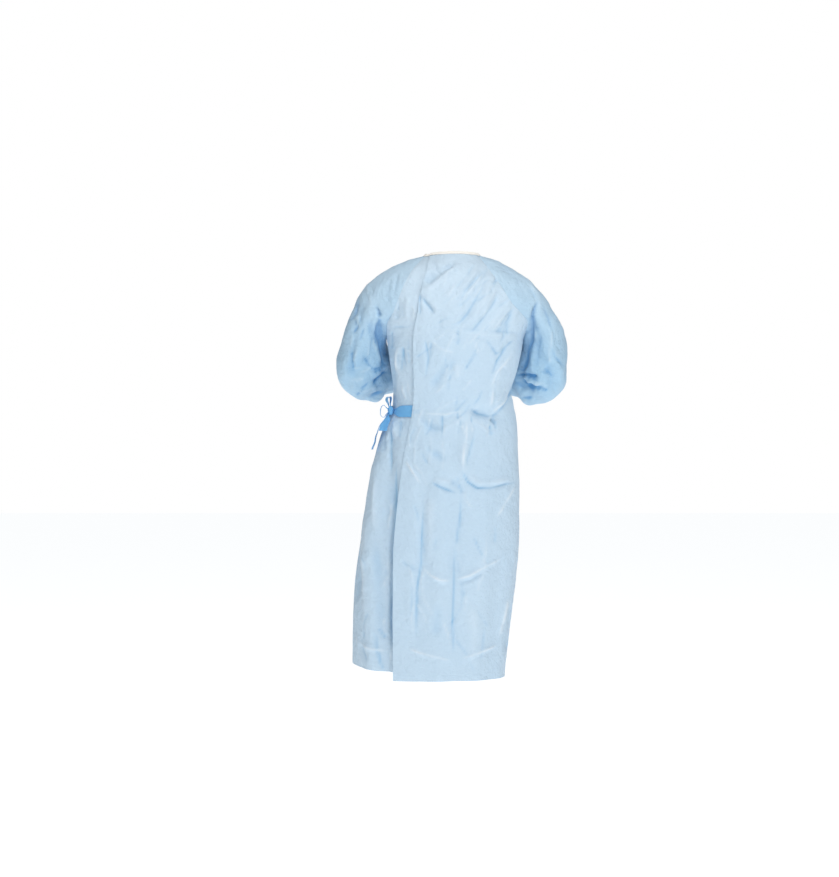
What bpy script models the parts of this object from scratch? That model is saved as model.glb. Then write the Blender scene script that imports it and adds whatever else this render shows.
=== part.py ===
"""A worn surgical gown: raglan sleeves, a wrapped back, knitted cuffs, a bound neck and a tied waist.

The cloth keeps the hollow form that its wearer gives it. Lengths are metres and +Z is up. The wearer
faces +Y, so the wrapped back looks along -Y and +X is the wearer's right. The origin is in the middle
of the neck opening, level with the nape, where the wearer's neck and shoulders carry the gown.
"""

from math import cos, pi, radians, sin

import bpy
import numpy as np
from mathutils import Matrix, Vector

# Driving sizes
WALL = 0.0016  # body and sleeve cloth
TIE_WALL = 0.0012
TIE_WIDTH = 0.032
BACK_TIE_LIFT = 0.0019  # from a panel's face to the middle of the tie that lies on it
FRONT_TIE_LIFT = 0.0030
FRONT_TIE_ROOT = 0.0012  # where the front tie is welded on
FRONT_TIE_SPAN = 5  # columns of the front panel that it crosses
SEAM_GAP = 0.0003
ARMPIT_DROP = 0.245  # from the nape down to the underarm seams
HEM_DROP = 1.172  # from the nape down to the back hem
LEFT_HEM_DROP = 1.137
UNDER_HEM_DROP = 1.150
RIGHT_HEM_DROP = 1.174
WAIST_DROP = 0.446
UNDER_INSET = 0.007  # how far the under panel lies inside the outer one at its free edge
COVERED_INSET = 0.008  # how much further it lies inside where it is well covered
COLLAR_HEIGHT = 0.0088  # cloth that runs up into the neck binding
COLLAR_RISE = 0.5  # how much steeper that strip stands than the cloth below it
BINDING_WALL = 0.0009
BINDING_GAP = 0.0005  # between the folded tape and the cloth in it
CUFF_LENGTH = 0.068
CUFF_RIBS = 24
CUFF_WALL = 0.0012
RIB_HEIGHT = 0.0008

# How finely the cloth is divided
SKIRT_ROWS = 22
YOKE_ROWS = 8
OUTER_COLUMNS = 15
UNDER_COLUMNS = 9
FRONT_COLUMNS = 16
SLEEVE_COLUMNS = 18
SLEEVE_ROWS = 13


def table(columns, *rows):
    """The rows of a table as one array for each named column."""
    return {name: np.array(values, float) for name, values in zip(columns.split(), zip(*rows))}


# Half sizes of the body's section at each drop below the nape, the place of its side seams
# front to back, and how square it is (2 is an ellipse).
BODY = table(
    "drop left right back front seam square",
    (0.245, 0.180, 0.197, 0.148, 0.138, 0.000, 2.25),
    (0.290, 0.173, 0.189, 0.148, 0.140, -0.012, 2.30),
    (0.335, 0.168, 0.177, 0.144, 0.140, -0.015, 2.35),
    (0.385, 0.162, 0.163, 0.137, 0.137, -0.008, 2.30),
    (0.425, 0.163, 0.167, 0.130, 0.134, 0.000, 2.25),
    (0.455, 0.167, 0.174, 0.124, 0.134, 0.000, 2.20),
    (0.507, 0.192, 0.180, 0.132, 0.144, 0.000, 2.20),
    (0.555, 0.206, 0.182, 0.142, 0.152, 0.000, 2.20),
    (0.600, 0.217, 0.184, 0.150, 0.157, 0.000, 2.20),
    (0.680, 0.232, 0.185, 0.155, 0.162, 0.000, 2.20),
    (0.800, 0.249, 0.184, 0.154, 0.164, 0.000, 2.20),
    (0.930, 0.267, 0.172, 0.150, 0.166, 0.000, 2.20),
    (1.070, 0.274, 0.156, 0.147, 0.168, 0.000, 2.20),
    (1.180, 0.275, 0.143, 0.145, 0.170, 0.000, 2.20),
)

# The yoke rises from the underarms (0) to the neck line (1). Each line is a seam or a ridge that the
# cloth follows on the way.
RIGHT_BACK_SEAM = table(
    "rise x y z",
    (0.00, 0.197, 0.000, -0.245),
    (0.12, 0.206, -0.056, -0.207),
    (0.28, 0.188, -0.086, -0.182),
    (0.45, 0.160, -0.103, -0.153),
    (0.65, 0.133, -0.104, -0.111),
    (0.85, 0.101, -0.078, -0.062),
    (1.00, 0.074, -0.030, -0.020),
)
LEFT_BACK_SEAM = table(
    "rise x y z",
    (0.00, -0.180, 0.000, -0.245),
    (0.12, -0.178, -0.060, -0.208),
    (0.28, -0.161, -0.088, -0.178),
    (0.45, -0.147, -0.103, -0.142),
    (0.65, -0.128, -0.104, -0.096),
    (0.85, -0.103, -0.078, -0.054),
    (1.00, -0.076, -0.030, -0.022),
)
RIGHT_FRONT_SEAM = table(
    "rise x y z",
    (0.00, 0.197, 0.000, -0.245),
    (0.12, 0.203, 0.058, -0.209),
    (0.28, 0.178, 0.086, -0.184),
    (0.45, 0.150, 0.102, -0.158),
    (0.65, 0.122, 0.104, -0.122),
    (0.85, 0.095, 0.078, -0.078),
    (1.00, 0.073, 0.032, -0.034),
)
LEFT_FRONT_SEAM = table(
    "rise x y z",
    (0.00, -0.180, 0.000, -0.245),
    (0.12, -0.184, 0.058, -0.209),
    (0.28, -0.162, 0.086, -0.184),
    (0.45, -0.141, 0.102, -0.156),
    (0.65, -0.119, 0.104, -0.119),
    (0.85, -0.095, 0.078, -0.078),
    (1.00, -0.074, 0.032, -0.036),
)
RIGHT_SHOULDER = table(
    "rise x y z",
    (0.00, 0.309, 0.004, -0.226),
    (0.12, 0.293, 0.002, -0.193),
    (0.28, 0.270, 0.000, -0.155),
    (0.45, 0.240, 0.000, -0.113),
    (0.65, 0.190, 0.000, -0.067),
    (0.85, 0.125, 0.000, -0.032),
    (1.00, 0.078, 0.000, -0.018),
)
LEFT_SHOULDER = table(
    "rise x y z",
    (0.00, -0.299, 0.004, -0.228),
    (0.12, -0.288, 0.002, -0.196),
    (0.28, -0.272, 0.000, -0.157),
    (0.45, -0.250, 0.000, -0.115),
    (0.65, -0.206, 0.000, -0.075),
    (0.85, -0.138, 0.000, -0.036),
    (1.00, -0.079, 0.000, -0.019),
)
BACK_MIDDLE = table(
    "rise x y z",
    (0.00, 0.0085, -0.148, -0.245),
    (0.12, 0.0080, -0.149, -0.222),
    (0.28, 0.0060, -0.149, -0.190),
    (0.45, 0.0050, -0.146, -0.152),
    (0.65, 0.0030, -0.134, -0.104),
    (0.85, 0.0000, -0.104, -0.052),
    (1.00, 0.0000, -0.071, -0.018),
)
FRONT_MIDDLE = table(
    "rise x y z",
    (0.00, 0.0085, 0.138, -0.245),
    (0.12, 0.0080, 0.141, -0.227),
    (0.28, 0.0060, 0.142, -0.204),
    (0.45, 0.0050, 0.139, -0.178),
    (0.65, 0.0030, 0.130, -0.148),
    (0.85, 0.0000, 0.108, -0.114),
    (1.00, 0.0000, 0.080, -0.090),
)
# How far round each end of a section's arc stops short, in degrees: 0 closes a ring, 90 leaves half.
YOKE_TURN = table(
    "rise body sleeve",
    (0.00, 90, 0),
    (0.12, 107, 52),
    (0.28, 116, 102),
    (0.45, 125, 120),
    (0.65, 130, 132),
    (0.85, 128, 145),
    (1.00, 115, 155),
)

# Centres of the sleeve's rings from the underarm round the elbow to the wrist, with half sizes
# across and deep.
RIGHT_ARM = table(
    "step x y z across deep",
    (0, 0.2530, 0.002, -0.2355, 0.0565, 0.068),
    (1, 0.2565, 0.030, -0.268, 0.0632, 0.076),
    (2, 0.2530, 0.052, -0.302, 0.068, 0.079),
    (3, 0.2490, 0.080, -0.334, 0.073, 0.077),
    (4, 0.2400, 0.114, -0.350, 0.071, 0.074),
    (5, 0.2130, 0.155, -0.342, 0.065, 0.070),
    (6, 0.1780, 0.191, -0.322, 0.060, 0.064),
    (7, 0.1420, 0.222, -0.300, 0.053, 0.056),
    (8, 0.1120, 0.246, -0.282, 0.043, 0.046),
    (9, 0.0900, 0.262, -0.269, 0.034, 0.035),
)
LEFT_ARM = table(
    "step x y z across deep",
    (0, -0.2395, 0.002, -0.2365, 0.0600, 0.068),
    (1, -0.2445, 0.030, -0.268, 0.0655, 0.076),
    (2, -0.2460, 0.052, -0.301, 0.0755, 0.079),
    (3, -0.2430, 0.080, -0.330, 0.0745, 0.075),
    (4, -0.2330, 0.114, -0.344, 0.0675, 0.071),
    (5, -0.2080, 0.155, -0.337, 0.063, 0.068),
    (6, -0.1740, 0.191, -0.319, 0.059, 0.064),
    (7, -0.1400, 0.222, -0.298, 0.052, 0.056),
    (8, -0.1110, 0.246, -0.281, 0.043, 0.046),
    (9, -0.0900, 0.262, -0.269, 0.034, 0.035),
)

# Free edge of the outer back panel, and the hidden edge of the under one, seen from behind.
OUTER_EDGE = table(
    "drop x",
    (0.018, -0.0615),
    (0.060, -0.0700),
    (0.129, -0.0860),
    (0.180, -0.0940),
    (0.228, -0.1040),
    (0.416, -0.1060),
    (0.470, -0.1130),
    (0.551, -0.1290),
    (0.685, -0.1480),
    (0.793, -0.1580),
    (0.954, -0.1610),
    (1.180, -0.1610),
)
UNDER_EDGE = table("drop x", (0.018, 0.012), (0.245, 0.030), (0.446, 0.020), (1.180, 0.045))

# The largest folds: a line on the cloth as it is seen from behind (back, under) or through from
# behind (front), its half width, and how far it lifts the cloth out. A trough lifts less than nothing.
FOLDS = table(
    "x1 z1 x2 z2 width lift",
    (0.082, -0.060, 0.028, -0.160, 0.017, -0.0045),
    (0.108, -0.095, 0.045, -0.215, 0.018, 0.0050),
    (0.140, -0.130, 0.070, -0.260, 0.019, -0.0055),
    (-0.085, -0.130, 0.012, -0.048, 0.017, 0.0040),
    (-0.088, -0.140, -0.045, -0.196, 0.016, -0.0040),
    (0.045, -0.444, 0.125, -0.466, 0.016, -0.0080),
    (0.050, -0.410, 0.130, -0.425, 0.022, 0.0080),
    (-0.070, -0.492, -0.005, -0.555, 0.019, -0.0050),
    (0.035, -0.465, 0.033, -0.610, 0.020, 0.0070),
    (-0.078, -0.645, -0.079, -0.860, 0.021, -0.0085),
    (-0.079, -0.860, -0.100, -1.080, 0.023, -0.0080),
    (-0.033, -0.620, -0.040, -1.160, 0.026, 0.0075),
    (0.016, -0.640, 0.004, -0.860, 0.021, -0.0080),
    (0.004, -0.860, 0.006, -1.165, 0.026, -0.0090),
    (0.085, -0.660, 0.062, -1.160, 0.026, 0.0075),
    (0.132, -0.860, 0.104, -1.165, 0.020, -0.0080),
)
UNDER_FOLDS = table(
    "x1 z1 x2 z2 width lift",
    (-0.165, -0.520, -0.184, -0.720, 0.016, -0.0080),
    (-0.184, -0.720, -0.180, -1.150, 0.019, -0.0110),
    (-0.205, -0.600, -0.227, -0.850, 0.019, 0.0070),
    (-0.227, -0.850, -0.220, -1.140, 0.020, 0.0085),
)
FRONT_FOLDS = table(
    "x1 z1 x2 z2 width lift",
    (0.062, -0.110, 0.100, -0.240, 0.018, -0.0055),
    (-0.060, -0.115, -0.095, -0.250, 0.018, -0.0055),
    (0.000, -0.140, 0.010, -0.330, 0.022, 0.0050),
    (-0.120, -0.290, -0.085, -0.388, 0.020, 0.0070),
    (0.100, -0.330, 0.065, -0.430, 0.020, 0.0070),
    (-0.060, -0.452, 0.130, -0.450, 0.016, -0.0060),
    (-0.112, -0.500, -0.145, -0.900, 0.020, 0.0110),
    (-0.145, -0.900, -0.155, -1.140, 0.024, 0.0130),
    (-0.058, -0.520, -0.080, -1.150, 0.022, -0.0110),
    (0.008, -0.490, -0.005, -1.150, 0.024, 0.0110),
    (0.062, -0.540, 0.050, -1.150, 0.021, -0.0110),
    (0.112, -0.580, 0.094, -1.150, 0.020, 0.0100),
    (-0.205, -0.640, -0.228, -1.130, 0.022, -0.0100),
)
# Folds on a sleeve: how far along it (steps of the arm), how far round it (degrees from the outside,
# the back is less than nothing), half width and lift.
SLEEVE_FOLDS = table(
    "step1 turn1 step2 turn2 width lift",
    (0.2, -125, 2.4, -70, 0.016, -0.0060),
    (0.6, -80, 3.2, -30, 0.018, 0.0040),
    (2.6, -165, 3.8, -85, 0.013, -0.0065),
    (3.3, -170, 4.4, -95, 0.012, 0.0060),
    (4.1, -175, 5.0, -100, 0.013, -0.0065),
    (2.8, 170, 3.6, 120, 0.013, -0.0040),
    (3.7, 175, 4.7, 120, 0.013, 0.0040),
    (4.6, 175, 5.6, 95, 0.014, -0.0060),
    (0.3, 30, 3.0, 60, 0.020, 0.0045),
    (5.8, -60, 8.2, -20, 0.014, -0.0045),
    (5.6, 30, 8.4, 50, 0.014, -0.0045),
    (5.5, 130, 8.0, 150, 0.014, 0.0045),
)

# The bow at the left side. Its loops and ends are lines of points with the width of the tie there.
KNOT = (-0.1690, -0.045, -0.4435)
KNOT_SIZE = (0.0075, 0.0120, 0.0130)  # half sizes
KNOT_WIDTH = 0.011  # of a tie where it goes into the knot
TIE_TUCK = 0.030  # how far the tie runs on under the outer panel, to where it is welded to it
LEFT_LOOP = table(
    "x y z width swing",
    (-0.1815, -0.045, -0.4345, 0.022, 0),
    (-0.1870, -0.045, -0.4290, 0.030, 0),
    (-0.1930, -0.045, -0.4320, 0.031, 0),
    (-0.1965, -0.045, -0.4400, 0.031, 0),
    (-0.1965, -0.045, -0.4510, 0.031, 0),
    (-0.1930, -0.045, -0.4600, 0.031, 0),
    (-0.1870, -0.045, -0.4620, 0.030, 0),
    (-0.1815, -0.045, -0.4545, 0.022, 0),
)
TOP_LOOP = table(
    "x y z width swing",
    (-0.1765, -0.038, -0.4230, 0.024, -12),
    (-0.1790, -0.036, -0.4140, 0.030, -14),
    (-0.1760, -0.034, -0.4070, 0.030, -14),
    (-0.1710, -0.034, -0.4060, 0.030, -14),
    (-0.1690, -0.036, -0.4120, 0.028, -12),
    (-0.1690, -0.038, -0.4210, 0.022, -10),
)
WIDE_END = table(
    "x y z width swing",
    (-0.1770, -0.059, -0.4650, 0.025, 32),
    (-0.1825, -0.065, -0.4770, 0.031, 38),
    (-0.1870, -0.069, -0.4880, 0.032, 40),
    (-0.1905, -0.071, -0.4990, 0.032, 40),
)
NARROW_END = table(
    "x y z width swing",
    (-0.1850, -0.031, -0.4660, 0.026, 0),
    (-0.1960, -0.028, -0.4800, 0.031, 0),
    (-0.2030, -0.027, -0.4940, 0.031, 0),
    (-0.2080, -0.027, -0.5100, 0.031, 3),
    (-0.2130, -0.027, -0.5300, 0.031, 5),
    (-0.2195, -0.027, -0.5500, 0.031, 6),
)

ARM_STEP = 0.037  # about one step along the arm, in metres
ARM_RADIUS = 0.070  # of the sleeve, for how far a fold goes round it

CLOTH = ("gown_cloth", (0.53, 0.70, 0.85), 0.62)
SLEEVE_CLOTH = ("sleeve_cloth", (0.42, 0.63, 0.81), 0.58)
TIE_CLOTH = ("tie_cloth", (0.17, 0.40, 0.67), 0.60)
BINDING_TAPE = ("binding_tape", (0.94, 0.87, 0.78), 0.80)
CUFF_KNIT = ("cuff_knit", (0.88, 0.88, 0.87), 0.85)


def smooth(keys, values, at):
    """A value on the smooth curve through a table's column, clamped to its ends."""
    at = min(max(at, keys[0]), keys[-1])
    slopes = np.gradient(values, keys)
    i = min(max(int(np.searchsorted(keys, at)) - 1, 0), len(keys) - 2)
    width = keys[i + 1] - keys[i]
    s = (at - keys[i]) / width
    start = values[i] * (1 + 2 * s) * (1 - s) ** 2 + slopes[i] * width * s * (1 - s) ** 2
    end = values[i + 1] * (3 - 2 * s) * s**2 + slopes[i + 1] * width * s**2 * (s - 1)
    return start + end


def spot(line, rise):
    """The point of a yoke line at a rise."""
    return np.array([smooth(line["rise"], line[axis], rise) for axis in "xyz"])


def unit(vector):
    return vector / max(np.linalg.norm(vector), 1e-12)


def ease(share):
    """0 to 1 with level ends."""
    share = min(max(share, 0.0), 1.0)
    return share * share * (3 - 2 * share)


def bulge(value, square):
    """A cosine or sine made squarer."""
    return np.sign(value) * abs(value) ** (2 / square)


def arc(first, apex, last, turn, share, square=2.0, deep=None):
    """A point of the arc from first (share -1) over apex (0) to last (1).

    The arc belongs to an ellipse and stops short of its far side by turn, in radians, at each end.
    A closed ring has no chord to set its depth, so deep gives it.
    """
    middle = (first + last) / 2
    reach = (apex - middle) / (1 + bulge(cos(turn), square))
    half = deep if deep is not None else (last - first) / (2 * bulge(sin(turn), square))
    angle = share * (pi - turn)
    return apex - reach + reach * bulge(cos(angle), square) + half * bulge(sin(angle), square)


def body_point(side, level, share):
    """A point of the smooth body, before its folds.

    side is back or front. level runs from -1 at the hem to 0 at the underarms and 1 at the neck.
    share runs from -1 to 1: left seam to right on the back, right seam to left on the front.
    """
    if level <= 0:
        drop = ARMPIT_DROP - level * (HEM_DROP - ARMPIT_DROP)
        size = {name: smooth(BODY["drop"], BODY[name], drop) for name in BODY}
        left = np.array([-size["left"], size["seam"], -drop])
        right = np.array([size["right"], size["seam"], -drop])
        middle = (left[0] + right[0]) / 2
        depth = -size["back"] if side == "back" else size["front"]
        apex = np.array([middle, depth, -drop])
        turn, square = pi / 2, size["square"]
    else:
        backward = side == "back"
        left = spot(LEFT_BACK_SEAM if backward else LEFT_FRONT_SEAM, level)
        right = spot(RIGHT_BACK_SEAM if backward else RIGHT_FRONT_SEAM, level)
        apex = spot(BACK_MIDDLE if backward else FRONT_MIDDLE, level)
        turn = radians(smooth(YOKE_TURN["rise"], YOKE_TURN["body"], level))
        square = 2.0 + 0.25 * ease(1 - level / 0.3)
    if side == "back":
        return arc(left, apex, right, turn, share, square)
    return arc(right, apex, left, turn, share, square)


def share_at(side, level, x):
    """The share at which the body's section has this x."""
    low, high = -1.0, 1.0
    rising = 1 if side == "back" else -1
    for _ in range(40):
        middle = (low + high) / 2
        if (body_point(side, level, middle)[0] - x) * rising < 0:
            low = middle
        else:
            high = middle
    return (low + high) / 2


def edge_share(edge, level):
    """The share at which a back panel's free edge crosses a section."""
    share = 0.0
    for _ in range(4):
        drop = -body_point("back", level, share)[2]
        share = share_at("back", level, smooth(edge["drop"], edge["x"], drop))
    return share


def relief(folds, u, v):
    """How far the folds of a table lift the cloth at a place."""
    names = list(folds)
    total = 0.0
    for u1, v1, u2, v2, width, lift in zip(*(folds[name] for name in names)):
        along = np.array([u2 - u1, v2 - v1])
        offset = np.array([u - u1, v - v1])
        share = min(max(offset @ along / (along @ along), 0.0), 1.0)
        distance = np.linalg.norm(offset - share * along)
        total += lift * np.exp(-((distance / width) ** 2))
    return total


def hem_shift(panel, level, share, free_share):
    """How far a point above the hem moves down so that the hem has its own line."""
    if level >= 0:
        return 0.0
    if panel == "front":
        hem = RIGHT_HEM_DROP + (LEFT_HEM_DROP - RIGHT_HEM_DROP) * (share + 1) / 2
    elif panel == "under":
        hem = LEFT_HEM_DROP + (UNDER_HEM_DROP - LEFT_HEM_DROP) * ease((share + 1) / (free_share + 1))
    else:
        hem = HEM_DROP + (RIGHT_HEM_DROP - HEM_DROP) * ease(share)
    return level * (hem - HEM_DROP)


def covered(share, free_share):
    """How well the outer panel covers a place on the under one, from 0 at its edge to 1."""
    return ease((share - free_share) / 0.15)


def body_spot(panel, level, share, free_share):
    """A point of a body panel before its folds: the under panel lies inside the outer one."""
    side = "front" if panel == "front" else "back"
    point = body_point(side, level, share)
    if panel == "under":
        step = 0.01
        across = body_point(side, level, min(share + step, 1)) - body_point(side, level, share - step)
        outward = unit(np.array([across[1], -across[0], 0.0]))
        inset = UNDER_INSET * ease(1.25 * (share + 1) / (free_share + 1))
        inset += COVERED_INSET * covered(share, free_share)
        point = point - outward * inset
    point[2] += hem_shift(panel, level, share, free_share)
    return point


def seam_hold(level, share):
    """Folds die out at the seams, at the collar and round the armpit."""
    sides = ease((1 - abs(share)) / 0.12)
    return sides * ease((1 - level) / 0.25)


def panel_grid(panel, levels, shares, free_shares):
    """Rows of points of a body panel from the hem to the collar, folds included."""
    plain = [
        [body_spot(panel, level, s, free) for s in row]
        for level, row, free in zip(levels, shares, free_shares)
    ]
    normals = grid_normals(plain)
    rows = []
    for i, (level, row) in enumerate(zip(levels, shares)):
        points = []
        for j, share in enumerate(row):
            point = plain[i][j]
            if panel == "front":
                lift = relief(FRONT_FOLDS, point[0], point[2])
            else:
                lift = relief(FOLDS, point[0], point[2])
            if panel == "under":
                lift *= 1 - covered(share, free_shares[i])
                lift += relief(UNDER_FOLDS, point[0], point[2])
            points.append(point + normals[i][j] * lift * seam_hold(level, share))
        rows.append(points)
    return rows


def collar_row(below, row):
    """The strip of cloth that runs on from the last row, a little steeper, into the neck binding."""
    rise = np.array([0.0, 0.0, COLLAR_RISE])
    return [point + unit(unit(point - low) + rise) * COLLAR_HEIGHT for low, point in zip(below, row)]


def grid_normals(rows):
    """Outward normals of a grid whose rows go up and whose columns go round anticlockwise from above."""
    points = np.array(rows)
    normals = np.cross(np.gradient(points, axis=1), np.gradient(points, axis=0))
    return normals / np.maximum(np.linalg.norm(normals, axis=2, keepdims=True), 1e-12)


def levels_of_body():
    """Levels of the body's rows, from the hem (-1) up to the neck line (1)."""
    skirt = [-1 + i / SKIRT_ROWS for i in range(SKIRT_ROWS)]
    yoke = [i / YOKE_ROWS for i in range(YOKE_ROWS + 1)]
    return skirt + yoke


def body_panels():
    """The grids of the three body panels."""
    levels = levels_of_body()
    outer_free = [edge_share(OUTER_EDGE, level) for level in levels]
    under_free = [edge_share(UNDER_EDGE, level) for level in levels]
    outer = [np.linspace(free, 1, OUTER_COLUMNS + 1) for free in outer_free]
    under = [np.linspace(-1, free, UNDER_COLUMNS + 1) for free in under_free]
    front = [np.linspace(-1, 1, FRONT_COLUMNS + 1)] * len(levels)
    grids = {
        "outer": panel_grid("outer", levels, outer, outer_free),
        "under": panel_grid("under", levels, under, outer_free),
        "front": panel_grid("front", levels, front, outer_free),
    }
    for rows in grids.values():
        rows.append(collar_row(rows[-2], rows[-1]))
    return grids


def arm_frames(arm, first_across):
    """Centre, outward and forward directions of each of the sleeve's rings."""
    steps = np.linspace(0, arm["step"][-1], SLEEVE_ROWS + 1)
    centres = [np.array([smooth(arm["step"], arm[axis], s) for axis in "xyz"]) for s in steps]
    across = unit(first_across)
    rings = []
    for i, (step, centre) in enumerate(zip(steps, centres)):
        if i == 0:
            ahead = unit(np.cross(across, np.array([0.0, 1.0, 0.0])))
            ahead = ahead if ahead[2] < 0 else -ahead
        else:
            ahead = unit(centres[min(i + 1, SLEEVE_ROWS)] - centres[i - 1])
        across = unit(across - ahead * (across @ ahead))
        rings.append((step, centre, across, np.cross(across, ahead)))
    return rings


def sleeve_folds(mirrored):
    """The sleeve's folds in metres along it and round it. On the left sleeve the back comes last."""
    folds = dict(SLEEVE_FOLDS)
    sign = -1 if mirrored else 1
    for name in ("step1", "step2"):
        folds[name] = SLEEVE_FOLDS[name] * ARM_STEP
    for name in ("turn1", "turn2"):
        folds[name] = np.radians(SLEEVE_FOLDS[name]) * ARM_RADIUS * sign
    return folds


def sleeve_grid(arm, shoulder, first_seam, last_seam):
    """Rows of points of a sleeve from the wrist up to the neck, each from its first seam round the
    outside to its last one: back to front on the right sleeve, front to back on the left. The rows
    below the underarm are closed rings."""
    shares = np.linspace(-1, 1, SLEEVE_COLUMNS + 1)
    underarm, crown = spot(first_seam, 0), spot(shoulder, 0)
    rings = arm_frames(arm, crown - underarm)
    rows, steps = [], []
    for step, centre, across, deep in reversed(rings):
        wide = smooth(arm["step"], arm["across"], step)
        thick = smooth(arm["step"], arm["deep"], step)
        if step == 0:
            row = [arc(underarm, crown, underarm, 0.0, s, 2.0, deep * thick) for s in shares]
        else:
            row = [
                centre + across * wide * cos(pi * s) + deep * thick * sin(pi * s) for s in shares
            ]
        rows.append(row)
        steps.append(step)
    for i in range(1, YOKE_ROWS + 1):
        rise = i / YOKE_ROWS
        turn = radians(smooth(YOKE_TURN["rise"], YOKE_TURN["sleeve"], rise))
        first, top, last = (spot(line, rise) for line in (first_seam, shoulder, last_seam))
        rows.append([arc(first, top, last, turn, s) for s in shares])
    normals = grid_normals(rows)
    folds = sleeve_folds(mirrored=underarm[0] < 0)
    for i, step in enumerate(steps):
        hold = ease(step) * ease((arm["step"][-1] - step) / 0.8)
        for j, share in enumerate(shares):
            lift = relief(folds, step * ARM_STEP, share * pi * ARM_RADIUS)
            rows[i][j] = rows[i][j] + normals[i][j] * lift * hold
        rows[i][0] = rows[i][-1] = (rows[i][0] + rows[i][-1]) / 2
    rows.append(collar_row(rows[-2], rows[-1]))
    return rows


def seam_normals(rows, sums):
    """A grid's normals from the sums of all the pieces that meet at its points."""
    return [[unit(sums[key(point)]) for point in row] for row in rows]


def own_normals(rows):
    """A grid's normals from its own faces."""
    sums = {}
    add_faces_normals(sums, rows)
    return seam_normals(rows, sums)


def key(point):
    """One key for points that are the same to within a few micrometres."""
    return tuple(np.floor(point * 2e5 + 0.37))


def add_faces_normals(sums, rows):
    """Adds each face's normal to the sums kept for its corners. Large and small faces count alike."""
    for low, high in zip(rows, rows[1:]):
        for j in range(len(low) - 1):
            corners = (low[j], low[j + 1], high[j + 1], high[j])
            normal = unit(np.cross(corners[2] - corners[0], corners[3] - corners[1]))
            for corner in corners:
                sums[key(corner)] = sums.get(key(corner), 0) + normal


def wall_mesh(name, rows, normals, look, wall=WALL, gaps=(), ring_rows=0, reach=0.0):
    """A closed wall between a grid's points and the same points moved in along their normals.

    gaps names the edges that draw back from a seam. The first ring_rows rows are closed rings.
    reach moves the outer skin out, by one length or by one for each column.
    """
    reach = np.broadcast_to(reach, len(rows[0]))
    half_gap = SEAM_GAP / 2
    pulled = [list(row) for row in rows]
    last, top = len(rows[0]) - 1, len(rows) - 1
    for i, row in enumerate(rows):
        if i >= ring_rows:
            if "start" in gaps:
                pulled[i][0] = pulled[i][0] + unit(row[1] - row[0]) * half_gap
            if "end" in gaps:
                pulled[i][last] = pulled[i][last] + unit(row[last - 1] - row[last]) * half_gap
    for j in range(last + 1):
        if "bottom" in gaps:
            pulled[0][j] = pulled[0][j] + unit(rows[1][j] - rows[0][j]) * half_gap
        if "top" in gaps:
            pulled[top][j] = pulled[top][j] + unit(rows[top - 1][j] - rows[top][j]) * half_gap
    points, index = [], {}
    if 0 < ring_rows <= top:
        corner = rows[ring_rows - 1]
        pulled[ring_rows - 1][0] = corner[0] + unit(corner[1] + corner[-2] - 2 * corner[0]) * half_gap
    for skin in ("out", "in"):
        for i, row in enumerate(pulled):
            for j in range(len(row)):
                if i < ring_rows and j == last:
                    index[skin, i, j] = index[skin, i, 0]
                    continue
                index[skin, i, j] = len(points)
                inset = -reach[j] if skin == "out" else wall
                points.append(pulled[i][j] - normals[i][j] * inset)
    faces = []
    for i in range(top):
        for j in range(last):
            a, b, c, d = (i, j), (i, j + 1), (i + 1, j + 1), (i + 1, j)
            one, other = (
                np.linalg.norm(points[index[("out", *p)]] - points[index[("out", *q)]])
                for p, q in ((a, c), (b, d))
            )
            # both skins are cut along the same diagonal, so a bent wall keeps its thickness
            for corners in ((a, b, c), (a, c, d)) if one < other else ((a, b, d), (b, c, d)):
                faces.append([index["out", m, n] for m, n in corners])
                faces.append([index["in", m, n] for m, n in reversed(corners)])
    for j in range(last):
        faces.append([index[k] for k in (("out", 0, j + 1), ("out", 0, j), ("in", 0, j), ("in", 0, j + 1))])
        faces.append(
            [index[k] for k in (("out", top, j), ("out", top, j + 1), ("in", top, j + 1), ("in", top, j))]
        )
    for i in range(max(ring_rows - 1, 0), top):
        for j, order in ((0, 1), (last, -1)):
            low, high = index["out", i, j], index["out", i + 1, j]
            low_in, high_in = index["in", i, j], index["in", i + 1, j]
            faces.append([low, high, high_in][::order])
            faces.append([low, high_in, low_in][::order])
    return add_object(name, points, faces, look)


def add_object(name, points, faces, look):
    """A mesh object of these points and faces, facing out, with its material."""
    faces = [[k for n, k in enumerate(face) if k != face[n - 1]] for face in faces]
    mesh = bpy.data.meshes.new(name)
    mesh.from_pydata([tuple(p) for p in points], [], [face for face in faces if len(face) > 2])
    mesh.validate()
    made = bpy.data.objects.new(name, mesh)
    GOWN.objects.link(made)
    mesh.materials.append(material(*look))
    mesh.shade_smooth()
    mesh.set_sharp_from_angle(angle=radians(50))
    return made


def material(name, colour, roughness):
    found = bpy.data.materials.get(name)
    if found:
        return found
    made = bpy.data.materials.new(name)
    made.use_nodes = True
    shader = made.node_tree.nodes["Principled BSDF"]
    shader.inputs["Base Color"].default_value = (*colour, 1)
    shader.inputs["Roughness"].default_value = roughness
    shader.inputs["Metallic"].default_value = 0.0
    return made


def start():
    """Empties the scene and makes the gown's collection."""
    for old in list(bpy.data.objects):
        bpy.data.objects.remove(old)
    made = bpy.data.collections.new("surgical_gown")
    bpy.context.scene.collection.children.link(made)
    return made


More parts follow.
